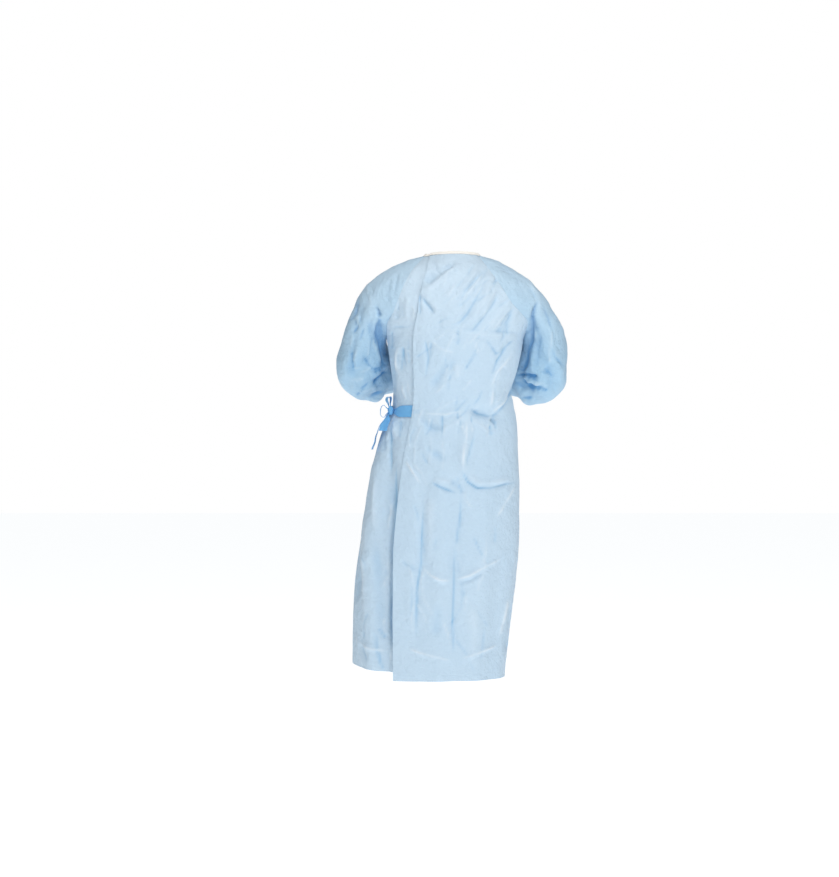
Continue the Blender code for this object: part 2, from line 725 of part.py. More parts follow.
def panel_walls(body, right, left):
    """The three body panels and the two sleeves, parted at their seams.

    Pieces share their normals along a seam, so that their walls meet. In the sharp valley of the
    underarm each keeps its own, so that the walls part.
    """
    every, body_alone = {}, {}
    for rows in (*body.values(), right, left):
        add_faces_normals(every, rows)
    for rows in body.values():
        add_faces_normals(body_alone, rows)
    valley = range(SKIRT_ROWS, SKIRT_ROWS + 2)
    for name, part, gaps in (
        ("back_panel_outer", "outer", ("end",)),
        ("back_panel_under", "under", ("start",)),
        ("front_panel", "front", ("start", "end")),
    ):
        normals = seam_normals(body[part], every)
        for i in valley:
            normals[i] = [unit(body_alone[key(point)]) for point in body[part][i]]
        wall_mesh(name, body[part], normals, CLOTH, gaps=gaps)
    valley = range(SLEEVE_ROWS, SLEEVE_ROWS + 2)
    for name, rows in (("sleeve_right", right), ("sleeve_left", left)):
        normals, own = seam_normals(rows, every), own_normals(rows)
        for i in valley:
            normals[i] = own[i]
        gaps = ("start", "end", "bottom")
        wall_mesh(name, rows, normals, SLEEVE_CLOTH, gaps=gaps, ring_rows=SLEEVE_ROWS + 1)
    return every


def knitted_cuff(name, sleeve):
    """A ribbed tube from the end of a sleeve to the wrist. The ribs stand on a plain inside."""
    ring = np.array(sleeve[0][:-1])
    start_centre = ring.mean(axis=0)
    towards = unit(start_centre - np.array(sleeve[1][:-1]).mean(axis=0))
    end_centre = start_centre + towards * CUFF_LENGTH + np.array([0.0, 0.0, 0.004])
    across = unit(ring[len(ring) // 2] - start_centre)
    deep = np.cross(across, towards)
    radius = np.linalg.norm(ring - start_centre, axis=1).mean()
    columns = CUFF_RIBS * 2
    rows = []
    for share, narrow in ((1.0, 0.86), (0.66, 0.84), (0.33, 0.88), (0.0, 0.96)):
        centre = start_centre + (end_centre - start_centre) * share
        turns = [2 * pi * (j / columns - 0.5) for j in range(columns + 1)]
        rows.append([centre + (across * cos(a) + deep * sin(a)) * radius * narrow for a in turns])
    rows[-1] = [point + towards * SEAM_GAP * 2 for point in rows[-1]]
    ribs = [RIB_HEIGHT * (j % 2) for j in range(columns + 1)]
    normals = own_normals(rows)
    wall_mesh(name, rows, normals, CUFF_KNIT, wall=CUFF_WALL, ring_rows=len(rows), reach=ribs)


def neck_path(body, right, left, sums):
    """Base, top and outward direction of the collar strip, from the outer panel's free edge round the
    neck to the under panel's end."""
    path = []
    for rows in (body["outer"], right, body["front"], left, body["under"]):
        for low, high in zip(rows[-2], rows[-1]):
            if path and key(low) == key(path[-1][0]):
                continue
            up = unit(high - low)
            out = unit(sums[key(high)])
            path.append((low, high, unit(out - up * (out @ up)), up))
    return path


def neck_binding(body, right, left, sums):
    """A tape folded over the collar strip: an outer leg, a top and an inner leg."""
    points, faces = [], []
    outside, inside = BINDING_GAP, -WALL - BINDING_GAP
    for base, top, out, up in neck_path(body, right, left, sums):
        ceiling = np.linalg.norm(top - base) + BINDING_GAP
        section = (
            (outside + BINDING_WALL, 0.0006),
            (outside + BINDING_WALL, ceiling + BINDING_WALL),
            (inside - BINDING_WALL, ceiling + BINDING_WALL),
            (inside - BINDING_WALL, 0.0006),
            (inside, 0.0006),
            (inside, ceiling),
            (outside, ceiling),
            (outside, 0.0006),
        )
        points += [base + out * n + up * h for n, h in section]
    size = len(section)
    for i in range(len(points) // size - 1):
        for k in range(size):
            low, next_low = i * size + k, i * size + (k + 1) % size
            faces.append([low, low + size, next_low + size, next_low])
    faces.append(list(range(size)))
    faces.append([len(points) - 1 - k for k in range(size)])
    return add_object("neck_binding", points, faces, BINDING_TAPE)


def grid_spot(rows, column, drop):
    """The point on a column of a panel's grid at this drop below the nape."""
    heights = [-row[column][2] for row in rows]
    for i in range(len(rows) - 1):
        if heights[i] >= drop >= heights[i + 1]:
            share = (heights[i] - drop) / (heights[i] - heights[i + 1])
            return rows[i][column] * (1 - share) + rows[i + 1][column] * share
    raise ValueError("the panel has no such height")


def knot_face(towards, width_axis):
    """The place just off the knot where a tie that comes from a point meets it. Its width lies along
    the axis with this number, in which the knot is met in its middle."""
    away = towards - np.array(KNOT)
    away[width_axis] = 0.0
    reach = 1 / np.linalg.norm(away / np.array(KNOT_SIZE))
    return np.array(KNOT) + away * reach + unit(away) * (SEAM_GAP + TIE_WALL / 4)


def gathered(distance):
    """Half the width of a tie at this distance from the knot, which gathers it."""
    return TIE_WIDTH / 2 * (0.42 + 0.58 * ease(distance / 0.020))


def flat_tie(name, places, lifts):
    """A flat tie that lies off a panel along its columns and goes on to the knot. places are
    (rows, column) pairs, lifts how far it lies off at each of them."""
    rows = []
    for side in (-1, 0, 1):
        row = []
        for grid, column in places:
            centre = grid_spot(grid, column, WAIST_DROP)
            half = gathered(np.linalg.norm(centre - np.array(KNOT)) - KNOT_SIZE[2])
            row.append(grid_spot(grid, column, WAIST_DROP - side * half))
        rows.append(row)
    normals = grid_normals(rows)
    raised = [[p + n * lift for p, n, lift in zip(r, ns, lifts)] for r, ns in zip(rows, normals)]
    near = 0 if np.linalg.norm(raised[1][0] - np.array(KNOT)) < 0.06 else len(places)
    meeting = knot_face(raised[1][near and near - 1], 2)
    for side, row in zip((-1, 0, 1), raised):
        row.insert(near, meeting + np.array([0.0, 0.0, side * gathered(0.0)]))
    half = TIE_WALL / 2
    wall_mesh(name, raised, own_normals(raised), TIE_CLOTH, wall=half, reach=half)


def ribbon(name, line, loop=False):
    """A loose piece of tie along a table of x, y, z, width and swing, which starts at the knot and,
    as a loop, ends there. swing, in degrees, turns the width away from front to back."""
    centres = list(np.stack([line[axis] for axis in "xyz"], 1))
    centres.insert(0, knot_face(centres[0], 1))
    widths = [KNOT_WIDTH, *line["width"]]
    swings = [0.0, *line["swing"]]
    if loop:
        centres.append(knot_face(centres[-1], 1))
        widths.append(KNOT_WIDTH)
        swings.append(0.0)
    rows = [[], []]
    for centre, width, swing in zip(centres, widths, swings):
        half = np.array([sin(radians(swing)), cos(radians(swing)), 0.0]) * width / 2
        rows[0].append(centre - half)
        rows[1].append(centre + half)
    half = TIE_WALL / 2
    wall_mesh(name, rows, own_normals(rows), TIE_CLOTH, wall=half, reach=half)


def waist_ties(body):
    """The two ties and their bow at the left side."""
    under, front = body["under"], body["front"]
    level = SKIRT_ROWS - 5
    edge = body["outer"][level][0][0]
    columns = [
        j for j in range(UNDER_COLUMNS + 1) if KNOT[0] + 0.012 < under[level][j][0] < edge + TIE_TUCK
    ]
    flat_tie("tie_back", [(under, j) for j in columns], [BACK_TIE_LIFT] * len(columns))
    columns = range(FRONT_COLUMNS - FRONT_TIE_SPAN, FRONT_COLUMNS + 1)
    lifts = [FRONT_TIE_LIFT if j > columns[0] else FRONT_TIE_ROOT for j in columns]
    flat_tie("tie_front", [(front, j) for j in columns], lifts)
    bpy.ops.mesh.primitive_uv_sphere_add(segments=16, ring_count=10, radius=1)
    knot = bpy.context.object
    knot.name = knot.data.name = "bow_knot"
    knot.data.transform(Matrix.LocRotScale(Vector(KNOT), None, Vector(KNOT_SIZE)))
    knot.data.materials.append(material(*TIE_CLOTH))
    knot.data.shade_smooth()
    for other in knot.users_collection:
        other.objects.unlink(knot)
    GOWN.objects.link(knot)
    ribbon("bow_loop_left", LEFT_LOOP, loop=True)
    ribbon("bow_loop_top", TOP_LOOP, loop=True)
    ribbon("bow_end_wide", WIDE_END)
    ribbon("bow_end_narrow", NARROW_END)


def main():
    body = body_panels()
    right = sleeve_grid(RIGHT_ARM, RIGHT_SHOULDER, RIGHT_BACK_SEAM, RIGHT_FRONT_SEAM)
    left = sleeve_grid(LEFT_ARM, LEFT_SHOULDER, LEFT_FRONT_SEAM, LEFT_BACK_SEAM)
    sums = panel_walls(body, right, left)
    knitted_cuff("cuff_right", right)
    knitted_cuff("cuff_left", left)
    neck_binding(body, right, left, sums)
    waist_ties(body)


GOWN = start()
if __name__ == "__main__":
    main()
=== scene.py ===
from math import atan2, pi, radians

import bpy
import numpy as np
from mathutils import Matrix, Vector


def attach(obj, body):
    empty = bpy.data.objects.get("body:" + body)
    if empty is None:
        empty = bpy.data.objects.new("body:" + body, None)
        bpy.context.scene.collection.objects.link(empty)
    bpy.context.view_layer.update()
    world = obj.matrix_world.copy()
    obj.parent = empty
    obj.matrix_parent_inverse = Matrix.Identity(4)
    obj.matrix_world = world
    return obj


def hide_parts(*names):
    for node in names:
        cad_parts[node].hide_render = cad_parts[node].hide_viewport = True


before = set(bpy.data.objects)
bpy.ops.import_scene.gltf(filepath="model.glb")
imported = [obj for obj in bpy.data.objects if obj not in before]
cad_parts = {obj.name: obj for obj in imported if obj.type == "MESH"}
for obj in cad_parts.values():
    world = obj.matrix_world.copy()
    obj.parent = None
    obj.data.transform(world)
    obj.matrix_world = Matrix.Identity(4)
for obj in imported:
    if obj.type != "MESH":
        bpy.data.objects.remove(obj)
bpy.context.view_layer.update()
bpy.ops.object.select_all(action="DESELECT")
print("frame loaded")

# Metres throughout. The wearer faces +Y, so the wrapped back looks along -Y and +X is the wearer's right.
gown = {
    "clothWall": 0.0006,
    "skirtRows": 316,
    "yokeRows": 84,
    "outerColumns": 106,
    "underColumns": 80,
    "frontColumns": 112,
    "sleeveColumns": 112,
    "armRows": 92,
    "armpitDrop": 0.245,  # from the nape
    "hemDrop": 1.172,
    "armLength": 0.333,
    "armStep": 0.037,  # length of one step along the arm
    "armRadius": 0.070,  # the sleeve's radius where degrees round the arm are turned into a length
    "yokeLength": 0.27,
    "leftHemDrop": 1.137,
    "underHemDrop": 1.150,
    "rightHemDrop": 1.174,
    "waistDrop": 0.446,
    "underInset": 0.007,  # the under panel lies inside the outer one
    "coveredInset": 0.008,
    "collarHeight": 0.0088,
    "collarRise": 0.5,
    "crumple": 0.0019,  # height of the small crumples
    "sleeveCrumple": 0.0020,
    "undulation": 0.0022,  # slow unevenness of the whole cloth
    "gatherHeight": 0.0011,  # where the sleeves are gathered into the cuffs
    "gatherReach": 0.9,  # in steps along the arm
    "gatherCount": 17,
    "creaseDepth": 1.9,
    "creaseWidth": 0.95,
    "sleeveCreaseDepth": 1.7,
    "creaseLine": 0.0026,  # half width of the painted line along a crease: painted highlight where it stands out, painted shade where it sinks in
    "backFolds": 0.6,  # share of the solids' fold height that the flat back keeps
}
eyeAt = (-0.0897, -5.0, -0.52)
eyeToBack = 4.86  # from the eye to the plane of the back
# The smooth noise of the crumples: the size of its cells, in metres, is wide, a share of wide, and slow.
noise = {
    "seed": 11, "cells": 32, "offset": 100.37,
    "wide": (0.046, 0.060, 0.046), "fine": 0.42, "slow": (0.13, 0.15, 0.13),
}
# How strongly the creases are painted: a painted highlight along raised ones and painted shade along sunken ones.
# The fade also ends their relief.
creaseMark = {
    "fullLift": 0.0026,  # a crease this deep is marked in full
    "fade": 0.22,  # share of its length in which a crease dies out at each end
    "step": 0.45,
    "soft": 0.32,
    "besideLine": 0.6,
}
freeEdge = {"stand": 0.0040, "standDrop": 0.085, "standHalf": 0.040, "lift": 0.0010, "width": 0.011}


def table(columns, *rows):
    return {name: np.array(values, float) for name, values in zip(columns.split(), zip(*rows))}


def metres(millimetres):
    return round(millimetres / 1000, 7)


seamRises = (0.00, 0.12, 0.28, 0.45, 0.65, 0.85, 1.00)  # from the underarm to the neck


def seam(*places):
    # a line up to the neck: its place at each of the rises, in millimetres
    return table("rise x y z", *((rise, *map(metres, place)) for rise, place in zip(seamRises, places)))


def foldTable(*rows):
    # large folds, in millimetres: a line, its half width and its lift
    return table("u1 v1 u2 v2 width lift", *(map(metres, row) for row in rows))


def drawn(*rows, place=metres):
    # creases, in millimetres: how sharp, half width, lift, and then the points of the line
    return tuple(
        (kind, metres(width), metres(lift), tuple(zip(map(place, line[::2]), map(place, line[1::2]))))
        for kind, width, lift, *line in rows
    )


bodySections = table(
    "drop left right back front seam square",
    (0.245, 0.180, 0.197, 0.148, 0.138, 0.000, 2.25),
    (0.290, 0.173, 0.189, 0.148, 0.140, -0.012, 2.30),
    (0.335, 0.168, 0.177, 0.144, 0.140, -0.015, 2.35),
    (0.385, 0.162, 0.163, 0.137, 0.137, -0.008, 2.30),
    (0.425, 0.163, 0.167, 0.130, 0.134, 0.000, 2.25),
    (0.455, 0.167, 0.174, 0.124, 0.134, 0.000, 2.20),
    (0.507, 0.192, 0.180, 0.132, 0.144, 0.000, 2.20),
    (0.555, 0.206, 0.182, 0.142, 0.152, 0.000, 2.20),
    (0.600, 0.217, 0.184, 0.150, 0.157, 0.000, 2.20),
    (0.680, 0.232, 0.185, 0.155, 0.162, 0.000, 2.20),
    (0.800, 0.249, 0.184, 0.154, 0.164, 0.000, 2.20),
    (0.930, 0.267, 0.172, 0.150, 0.166, 0.000, 2.20),
    (1.070, 0.274, 0.156, 0.147, 0.168, 0.000, 2.20),
    (1.180, 0.275, 0.143, 0.145, 0.170, 0.000, 2.20),
)
rightBackSeam = seam(
    (197, 0, -245), (206, -56, -207), (188, -86, -182), (160, -103, -153),
    (133, -104, -111), (101, -78, -62), (74, -30, -20),
)
leftBackSeam = seam(
    (-180, 0, -245), (-178, -60, -208), (-161, -88, -178), (-147, -103, -142),
    (-128, -104, -96), (-103, -78, -54), (-76, -30, -22),
)
rightFrontSeam = seam(
    (197, 0, -245), (203, 58, -209), (178, 86, -184), (150, 102, -158),
    (122, 104, -122), (95, 78, -78), (73, 32, -34),
)
leftFrontSeam = seam(
    (-180, 0, -245), (-184, 58, -209), (-162, 86, -184), (-141, 102, -156),
    (-119, 104, -119), (-95, 78, -78), (-74, 32, -36),
)
rightShoulder = seam(
    (309, 4, -226), (293, 2, -193), (270, 0, -155), (240, 0, -113),
    (190, 0, -67), (125, 0, -32), (78, 0, -18),
)
leftShoulder = seam(
    (-299, 4, -228), (-288, 2, -196), (-272, 0, -157), (-250, 0, -115),
    (-206, 0, -75), (-138, 0, -36), (-79, 0, -19),
)
backMiddle = seam(
    (8.5, -148, -245), (8, -149, -222), (6, -149, -190), (5, -146, -152),
    (3, -134, -104), (0, -104, -52), (0, -71, -18),
)
frontMiddle = seam(
    (8.5, 138, -245), (8, 141, -227), (6, 142, -204), (5, 139, -178),
    (3, 130, -148), (0, 108, -114), (0, 80, -90),
)
yokeTurn = table(
    "rise body sleeve",
    (0.00, 90, 0),
    (0.12, 107, 52),
    (0.28, 116, 102),
    (0.45, 125, 120),
    (0.65, 130, 132),
    (0.85, 128, 145),
    (1.00, 115, 155),
)
rightArm = table(
    "step x y z across deep",
    (0, 0.2530, 0.002, -0.2355, 0.0565, 0.068),
    (1, 0.2565, 0.030, -0.268, 0.0632, 0.076),
    (2, 0.2530, 0.052, -0.302, 0.068, 0.079),
    (3, 0.2490, 0.080, -0.334, 0.073, 0.077),
    (4, 0.2400, 0.114, -0.350, 0.071, 0.074),
    (5, 0.2130, 0.155, -0.342, 0.065, 0.070),
    (6, 0.1780, 0.191, -0.322, 0.060, 0.064),
    (7, 0.1420, 0.222, -0.300, 0.053, 0.056),
    (8, 0.1120, 0.246, -0.282, 0.043, 0.046),
    (9, 0.0900, 0.262, -0.269, 0.034, 0.035),
)
leftArm = table(
    "step x y z across deep",
    (0, -0.2395, 0.002, -0.2365, 0.0600, 0.068),
    (1, -0.2445, 0.030, -0.268, 0.0655, 0.076),
    (2, -0.2460, 0.052, -0.301, 0.0755, 0.079),
    (3, -0.2430, 0.080, -0.330, 0.0745, 0.075),
    (4, -0.2330, 0.114, -0.344, 0.0675, 0.071),
    (5, -0.2080, 0.155, -0.337, 0.063, 0.068),
    (6, -0.1740, 0.191, -0.319, 0.059, 0.064),
    (7, -0.1400, 0.222, -0.298, 0.052, 0.056),
    (8, -0.1110, 0.246, -0.281, 0.043, 0.046),
    (9, -0.0900, 0.262, -0.269, 0.034, 0.035),
)
outerEdge = table(
    "drop x",
    (0.018, -0.0615),
    (0.060, -0.0700),
    (0.105, -0.0812),
    (0.124, -0.0845),
    (0.136, -0.0912),
    (0.152, -0.0930),
    (0.180, -0.0950),
    (0.228, -0.1040),
    (0.416, -0.1060),
    (0.470, -0.1130),
    (0.551, -0.1290),
    (0.685, -0.1480),
    (0.793, -0.1580),
    (0.954, -0.1610),
    (1.180, -0.1610),
)
underEdge = table("drop x", (0.018, 0.012), (0.245, 0.030), (0.446, 0.020), (1.180, 0.045))

# The large folds, which the solids have too.
largeBackFolds = foldTable(
    (82, -60, 28, -160, 17, -4.5),
    (108, -95, 45, -215, 18, 5),
    (140, -130, 70, -260, 19, -5.5),
    (-85, -130, 12, -48, 17, 4),
    (-88, -140, -45, -196, 16, -4),
    (45, -444, 125, -466, 16, -8),
    (50, -410, 130, -425, 22, 8),
    (-70, -492, -5, -555, 19, -5),
    (35, -465, 33, -610, 20, 7),
    (-78, -645, -79, -860, 21, -8.5),
    (-79, -860, -100, -1080, 23, -8),
    (-33, -620, -40, -1160, 26, 7.5),
    (16, -640, 4, -860, 21, -8),
    (4, -860, 6, -1165, 26, -9),
    (85, -660, 62, -1160, 26, 7.5),
    (132, -860, 104, -1165, 20, -8),
)
largeUnderFolds = foldTable(
    (-165, -520, -184, -720, 16, -8),
    (-184, -720, -180, -1150, 19, -11),
    (-205, -600, -227, -850, 19, 7),
    (-227, -850, -220, -1140, 20, 8.5),
)
largeFrontFolds = foldTable(
    (62, -110, 100, -240, 18, -5.5),
    (-60, -115, -95, -250, 18, -5.5),
    (0, -140, 10, -330, 22, 5),
    (-120, -290, -85, -388, 20, 7),
    (100, -330, 65, -430, 20, 7),
    (-60, -452, 130, -450, 16, -6),
    (-112, -500, -145, -900, 20, 11),
    (-145, -900, -155, -1140, 24, 13),
    (-58, -520, -80, -1150, 22, -11),
    (8, -490, -5, -1150, 24, 11),
    (62, -540, 50, -1150, 21, -11),
    (112, -580, 94, -1150, 20, 10),
    (-205, -640, -228, -1130, 22, -10),
)
# On the sleeves a line runs in steps along the arm and in degrees round it.
largeSleeveFolds = table(
    "u1 v1 u2 v2 width lift",
    (0.2, -125, 2.4, -70, 0.016, -0.0060),
    (0.6, -80, 3.2, -30, 0.018, 0.0040),
    (2.6, -165, 3.8, -85, 0.013, -0.0065),
    (3.3, -170, 4.4, -95, 0.012, 0.0060),
    (4.1, -175, 5.0, -100, 0.013, -0.0065),
    (2.8, 170, 3.6, 120, 0.013, -0.0040),
    (3.7, 175, 4.7, 120, 0.013, 0.0040),
    (4.6, 175, 5.6, 95, 0.014, -0.0060),
    (0.3, 30, 3.0, 60, 0.020, 0.0045),
    (5.8, -60, 8.2, -20, 0.014, -0.0045),
    (5.6, 30, 8.4, 50, 0.014, -0.0045),
    (5.5, 130, 8.0, 150, 0.014, 0.0045),
)

# Creases, listed as lines on the cloth. The points on the back are where they show from behind.
outerCreases = drawn(
    ("soft", 22, -3.5, -80.3, -97.3, -34.7, -57),
    ("step", 10, -3.6, -88.3, -124.1, -40, -86.5, 16.3, -49),
    ("sharp", 6, -3.4, -88.3, -132.8, -69.6, -158.7, -48.1, -186.6),
    ("sharp", 5, -4, -89.5, -126, -90.5, -156, -89, -190),
    ("soft", 10, 1.6, -74.9, -132.2, -37.4, -183.2),
    ("sharp", 7, -2.6, 96.8, -59.7, 67.3, -83.8, 35.1, -121.4, 8.3, -167),
    ("soft", 9, 2.4, 72.7, -62.4, 40.5, -99.9, 13.6, -142.9),
    ("sharp", 7, -2.8, 88.8, -83.8, 75.4, -121.4, 40.5, -183.2, 2.9, -226.1),
    ("soft", 9, 2.4, 104.9, -102.6, 83.4, -156.3, 45.9, -207.3),
    ("sharp", 7, -2.8, 126.4, -129.5, 102.2, -169.7, 72.7, -207.3, 45.9, -239.5),
    ("soft", 9, 2.2, 145.2, -156.3, 110.3, -207.3, 67.3, -250.3),
    ("sharp", 7, -2, 161.3, -180.5, 139.8, -212.7, 121, -242.2),
    ("sharp", 5.5, -0.6, -77.6, -220.7, 5.6, -223.4, 99.5, -231.5, 206.9, -239.5),
    ("soft", 7, 1.4, -7.8, -236.8, 99.5, -244.9, 196.2, -250.3),
    ("sharp", 5, -2, 13.6, -226.1, 13.6, -271.7),
    ("sharp", 6, -1.8, 88.8, -252.9, 121, -298.6),
    ("sharp", 6, -2, 147.8, -269, 118.3, -312, 104.9, -352.2),
    ("soft", 8, 1.8, 163.9, -282.5, 134.4, -333.5),
    ("soft", 10, -2.2, 13.6, -298.6, -26.6, -341.5, -64.2, -389.8),
    ("soft", 13, 1.8, 32.4, -309.3, -34.7, -395.2),
    ("sharp", 5, -1, -21.2, -301.2, -15.9, -333.5),
    ("sharp", 5, -1, 0.2, -309.3, -5.1, -338.8),
    ("sharp", 6, -4, 45.9, -440.8, 67.3, -454.2, 102.2, -460.9, 126.4, -451.6),
    ("soft", 6, 3, 32.4, -444.8, 45.9, -462.3, 80.7, -489.1, 99.5, -505.2),
    ("soft", 6.5, -5.5, 102.2, -465, 118.3, -478.4),
    ("sharp", 6, -2, 99.5, -481.1, 104.9, -513.3),
    ("sharp", 10, 3, 35.1, -459.6, 35.1, -516, 27.1, -572.3, 29.7, -615.3),
    ("sharp", 6, -1.8, -29.3, -448.9, -29.3, -489.1, -32, -529.4),
    ("soft", 7, 1.8, -23.9, -494.5, 2.9, -478.4, 32.4, -459.6),
    ("soft", 8, -3.4, -96.4, -459.6, -58.8, -489.1, -23.9, -494.5),
    ("sharp", 6, -2.4, 168, -366, 148, -414, 113, -460),
    ("sharp", 5, 2, 156, -380, 135, -422, 102, -452),
    ("sharp", 5, 1.6, -88, -452, -20, -456, 38, -443),
    ("sharp", 5, -1.6, 164, -254, 129, -286, 108, -296),
    ("sharp", 5, -1.4, 68, -286, 42, -320, 30, -340),
    ("sharp", 5, 1.8, 156, -296, 118, -342, 98, -390),
    ("sharp", 5, -1.6, 62, -46, 33, -86, 6, -120),
    ("sharp", 5, 1.8, 86, -70, 56, -108, 26, -150),
    ("sharp", 5, -1.6, -76, -248, -66, -304, -74, -360),
    ("sharp", 5, 1.6, -60, -256, -30, -282, 6, -290),
    ("soft", 8, -2.8, -74.9, -542.8, -34.7, -569.6, -15.9, -583.1),
    ("sharp", 6, -2.5, 21.7, -601.9, 40.5, -636.7, 64.6, -652.9, 102.2, -652.9, 142.5, -642.1, 174.7, -636.7),
    ("soft", 9, 2.6, 35.1, -615.3, 72.7, -639.4, 115.6, -636.7, 153.2, -626),
    ("sharp", 6, -2.4, -61.5, -634.1, -34.7, -650.2, 13.6, -669),
    ("soft", 6, -2.2, -7.8, -631.4, 19, -652.9, 27.1, -671.6),
    ("soft", 7, 2.2, -56.1, -628.7, -2.5, -636.7),
    ("sharp", 6, 2.4, -128.6, -577.7, -104.5, -615.3, -85.7, -644.8),
    ("sharp", 6, 2.4, 166.6, -644.8, 142.5, -687.7, 115.6, -733.4),
    ("sharp", 7, -2, -83, -652.9, -80.3, -714.6, -84.3, -792.4, -85.7, -848.8, -96.4, -918.6, -98, -1001.8,
     -99.1, -1074.2),
    ("soft", 13, 2.4, -64.2, -658.2, -61.5, -792.4, -69.6, -862.2),
    ("sharp", 7, -2, 21.7, -658.2, 21.7, -714.6, 11, -792.4, 4.2, -862.2, 2.9, -918.6, 0.2, -1009.8, 2.9,
     -1114.5),
    ("sharp", 6, 3, -80.3, -867.6, -58.8, -888.2, -34.7, -899.8, -2.5, -902.5),
    ("sharp", 6, 3.4, 6.9, -899.8, 42.1, -888.2, 80.7, -864.9, 134.4, -840.7),
    ("soft", 6, -1.8, 11, -910.5, 45.9, -899.8, 86.1, -877),
    ("soft", 7, -2.2, -142, -846.1, -115.2, -864.9, -91, -881),
    ("sharp", 6, 2.2, -123.2, -1082.3, -88.3, -1095.7, -34.7, -1109.1, -2.5, -1117.2),
    ("sharp", 6, 2.2, 21.7, -1111.8, 80.7, -1090.3, 123.7, -1074.2),
    ("sharp", 6, 2.8, 147.8, -945.4, 134.4, -1009.8, 126.4, -1055.5),
    ("soft", 7, -3.4, 158.6, -953.5, 147.8, -1034, 142.5, -1106.4),
    ("soft", 12, -2, -40, -953.5, -45.4, -1060.8),
    ("soft", 14, 2, 51.2, -953.5, 56.6, -1060.8, 45.9, -1141.3),
)
underCreases = drawn(
    ("sharp", 9, -4.6, -152, -560, -159, -660, -160.5, -800, -163, -950, -164, -1120),
    ("soft", 12, -3.6, -158, -600, -164, -760, -166, -940, -167, -1100),
    ("sharp", 6, 2.2, -148.7, -269, -150.9, -346.9),
    ("sharp", 6, -2.2, -134, -269, -138, -341.5),
    ("soft", 7, -2.6, -166.2, -242.2, -163.5, -322.7, -155.4, -405.9),
    ("sharp", 5, -1.2, -166.2, -220.7, -112.5, -220.7),
    ("soft", 9, 2, -120.6, -137.5, -128.6, -207.3),
    ("soft", 7, -2, -144.7, -148.3, -152.8, -207.3),
    ("sharp", 6, -3.4, -167.5, -470.3, -172.6, -542.8, -170.2, -626),
    ("soft", 6, -2.4, -182.3, -481.1, -189, -556.2),
    ("soft", 7, 2.2, -158.1, -467.7, -160.8, -526.7),
    ("sharp", 6, -1.6, -139.3, -467.7, -144.7, -518.7),
    ("soft", 10, -4, -170.2, -615.3, -168.9, -666.3, -158.1, -714.6, -160.8, -792.4, -163.5, -926.6, -164.8,
     -1136),
    ("soft", 7, 2.8, -202.4, -593.8, -207.8, -685.1, -209.1, -781.7),
    ("soft", 9, -2.8, -206.4, -781.7, -198.4, -953.5, -187.7, -1074.2),
    ("soft", 11, -2.8, -249.4, -805.8, -257.4, -966.9),
    ("soft", 10, 2.4, -230.6, -685.1, -236, -846.1, -230.6, -1060.8),
    ("sharp", 5, -1.5, -201.1, -1028.6, -185, -1058.1),
    ("sharp", 6, 1.8, -260.1, -1060.8, -222.5, -1082.3, -179.6, -1093),
)
leftSleeveCreases = drawn(
    ("soft", 22, -3.4, -200, -205, -186, -270, -182, -330, -188, -372),
    ("soft", 10, -2.2, -203, -190, -190, -250, -182, -310, -186, -365),
    ("sharp", 5.5, -5, -208.4, -160, -200, -180, -193, -196),
    ("sharp", 6.5, -4, -206.4, -208, -195, -236, -188, -270, -186, -305, -176, -334),
    ("sharp", 6.5, -5.6, -168, -342, -190, -359, -216, -378),
    ("sharp", 5, -2.6, -196, -210, -186, -234, -181, -270),
    ("sharp", 4.5, 3, -211, -256, -201, -286, -190, -318),
    ("sharp", 8, -4, -209.1, -159, -198.4, -201.9, -193, -236.8, -171.6, -312),
    ("soft", 7, -2.6, -225.2, -191.2, -217.2, -242.2, -203.8, -287.8),
    ("soft", 6, 2.2, -218, -236.8, -204.6, -279.8),
    ("soft", 10, -2.6, -262.8, -250.3, -276.2, -330.8, -268.2, -384.5),
    ("soft", 10, -2.2, -241.3, -148.3, -257.4, -228.8, -268.2, -282.5),
    ("sharp", 8, -6, -168.9, -341.5, -190.3, -360.3, -211.8, -379.1),
    ("sharp", 7, -3.4, -227.9, -418, -195.7, -397.9, -166.2, -379.1),
    ("soft", 7, 3.4, -219.9, -403.2, -195.7, -384.5, -174.2, -368.3),
    ("soft", 10, 2.2, -289.6, -287.8, -281.6, -352.2, -257.4, -397.9),
    ("soft", 6, -1.8, -150.1, -73.1, -158.1, -140.2),
    ("soft", 6, -1.4, -168.9, -91.9, -174.2, -156.3),
    ("soft", 12, 2.2, -195.7, -102.6, -219.9, -161.7, -233.3, -207.3),
    ("sharp", 6, -1.8, -244, -298.6, -222.5, -325.4, -206.4, -341.5),
)
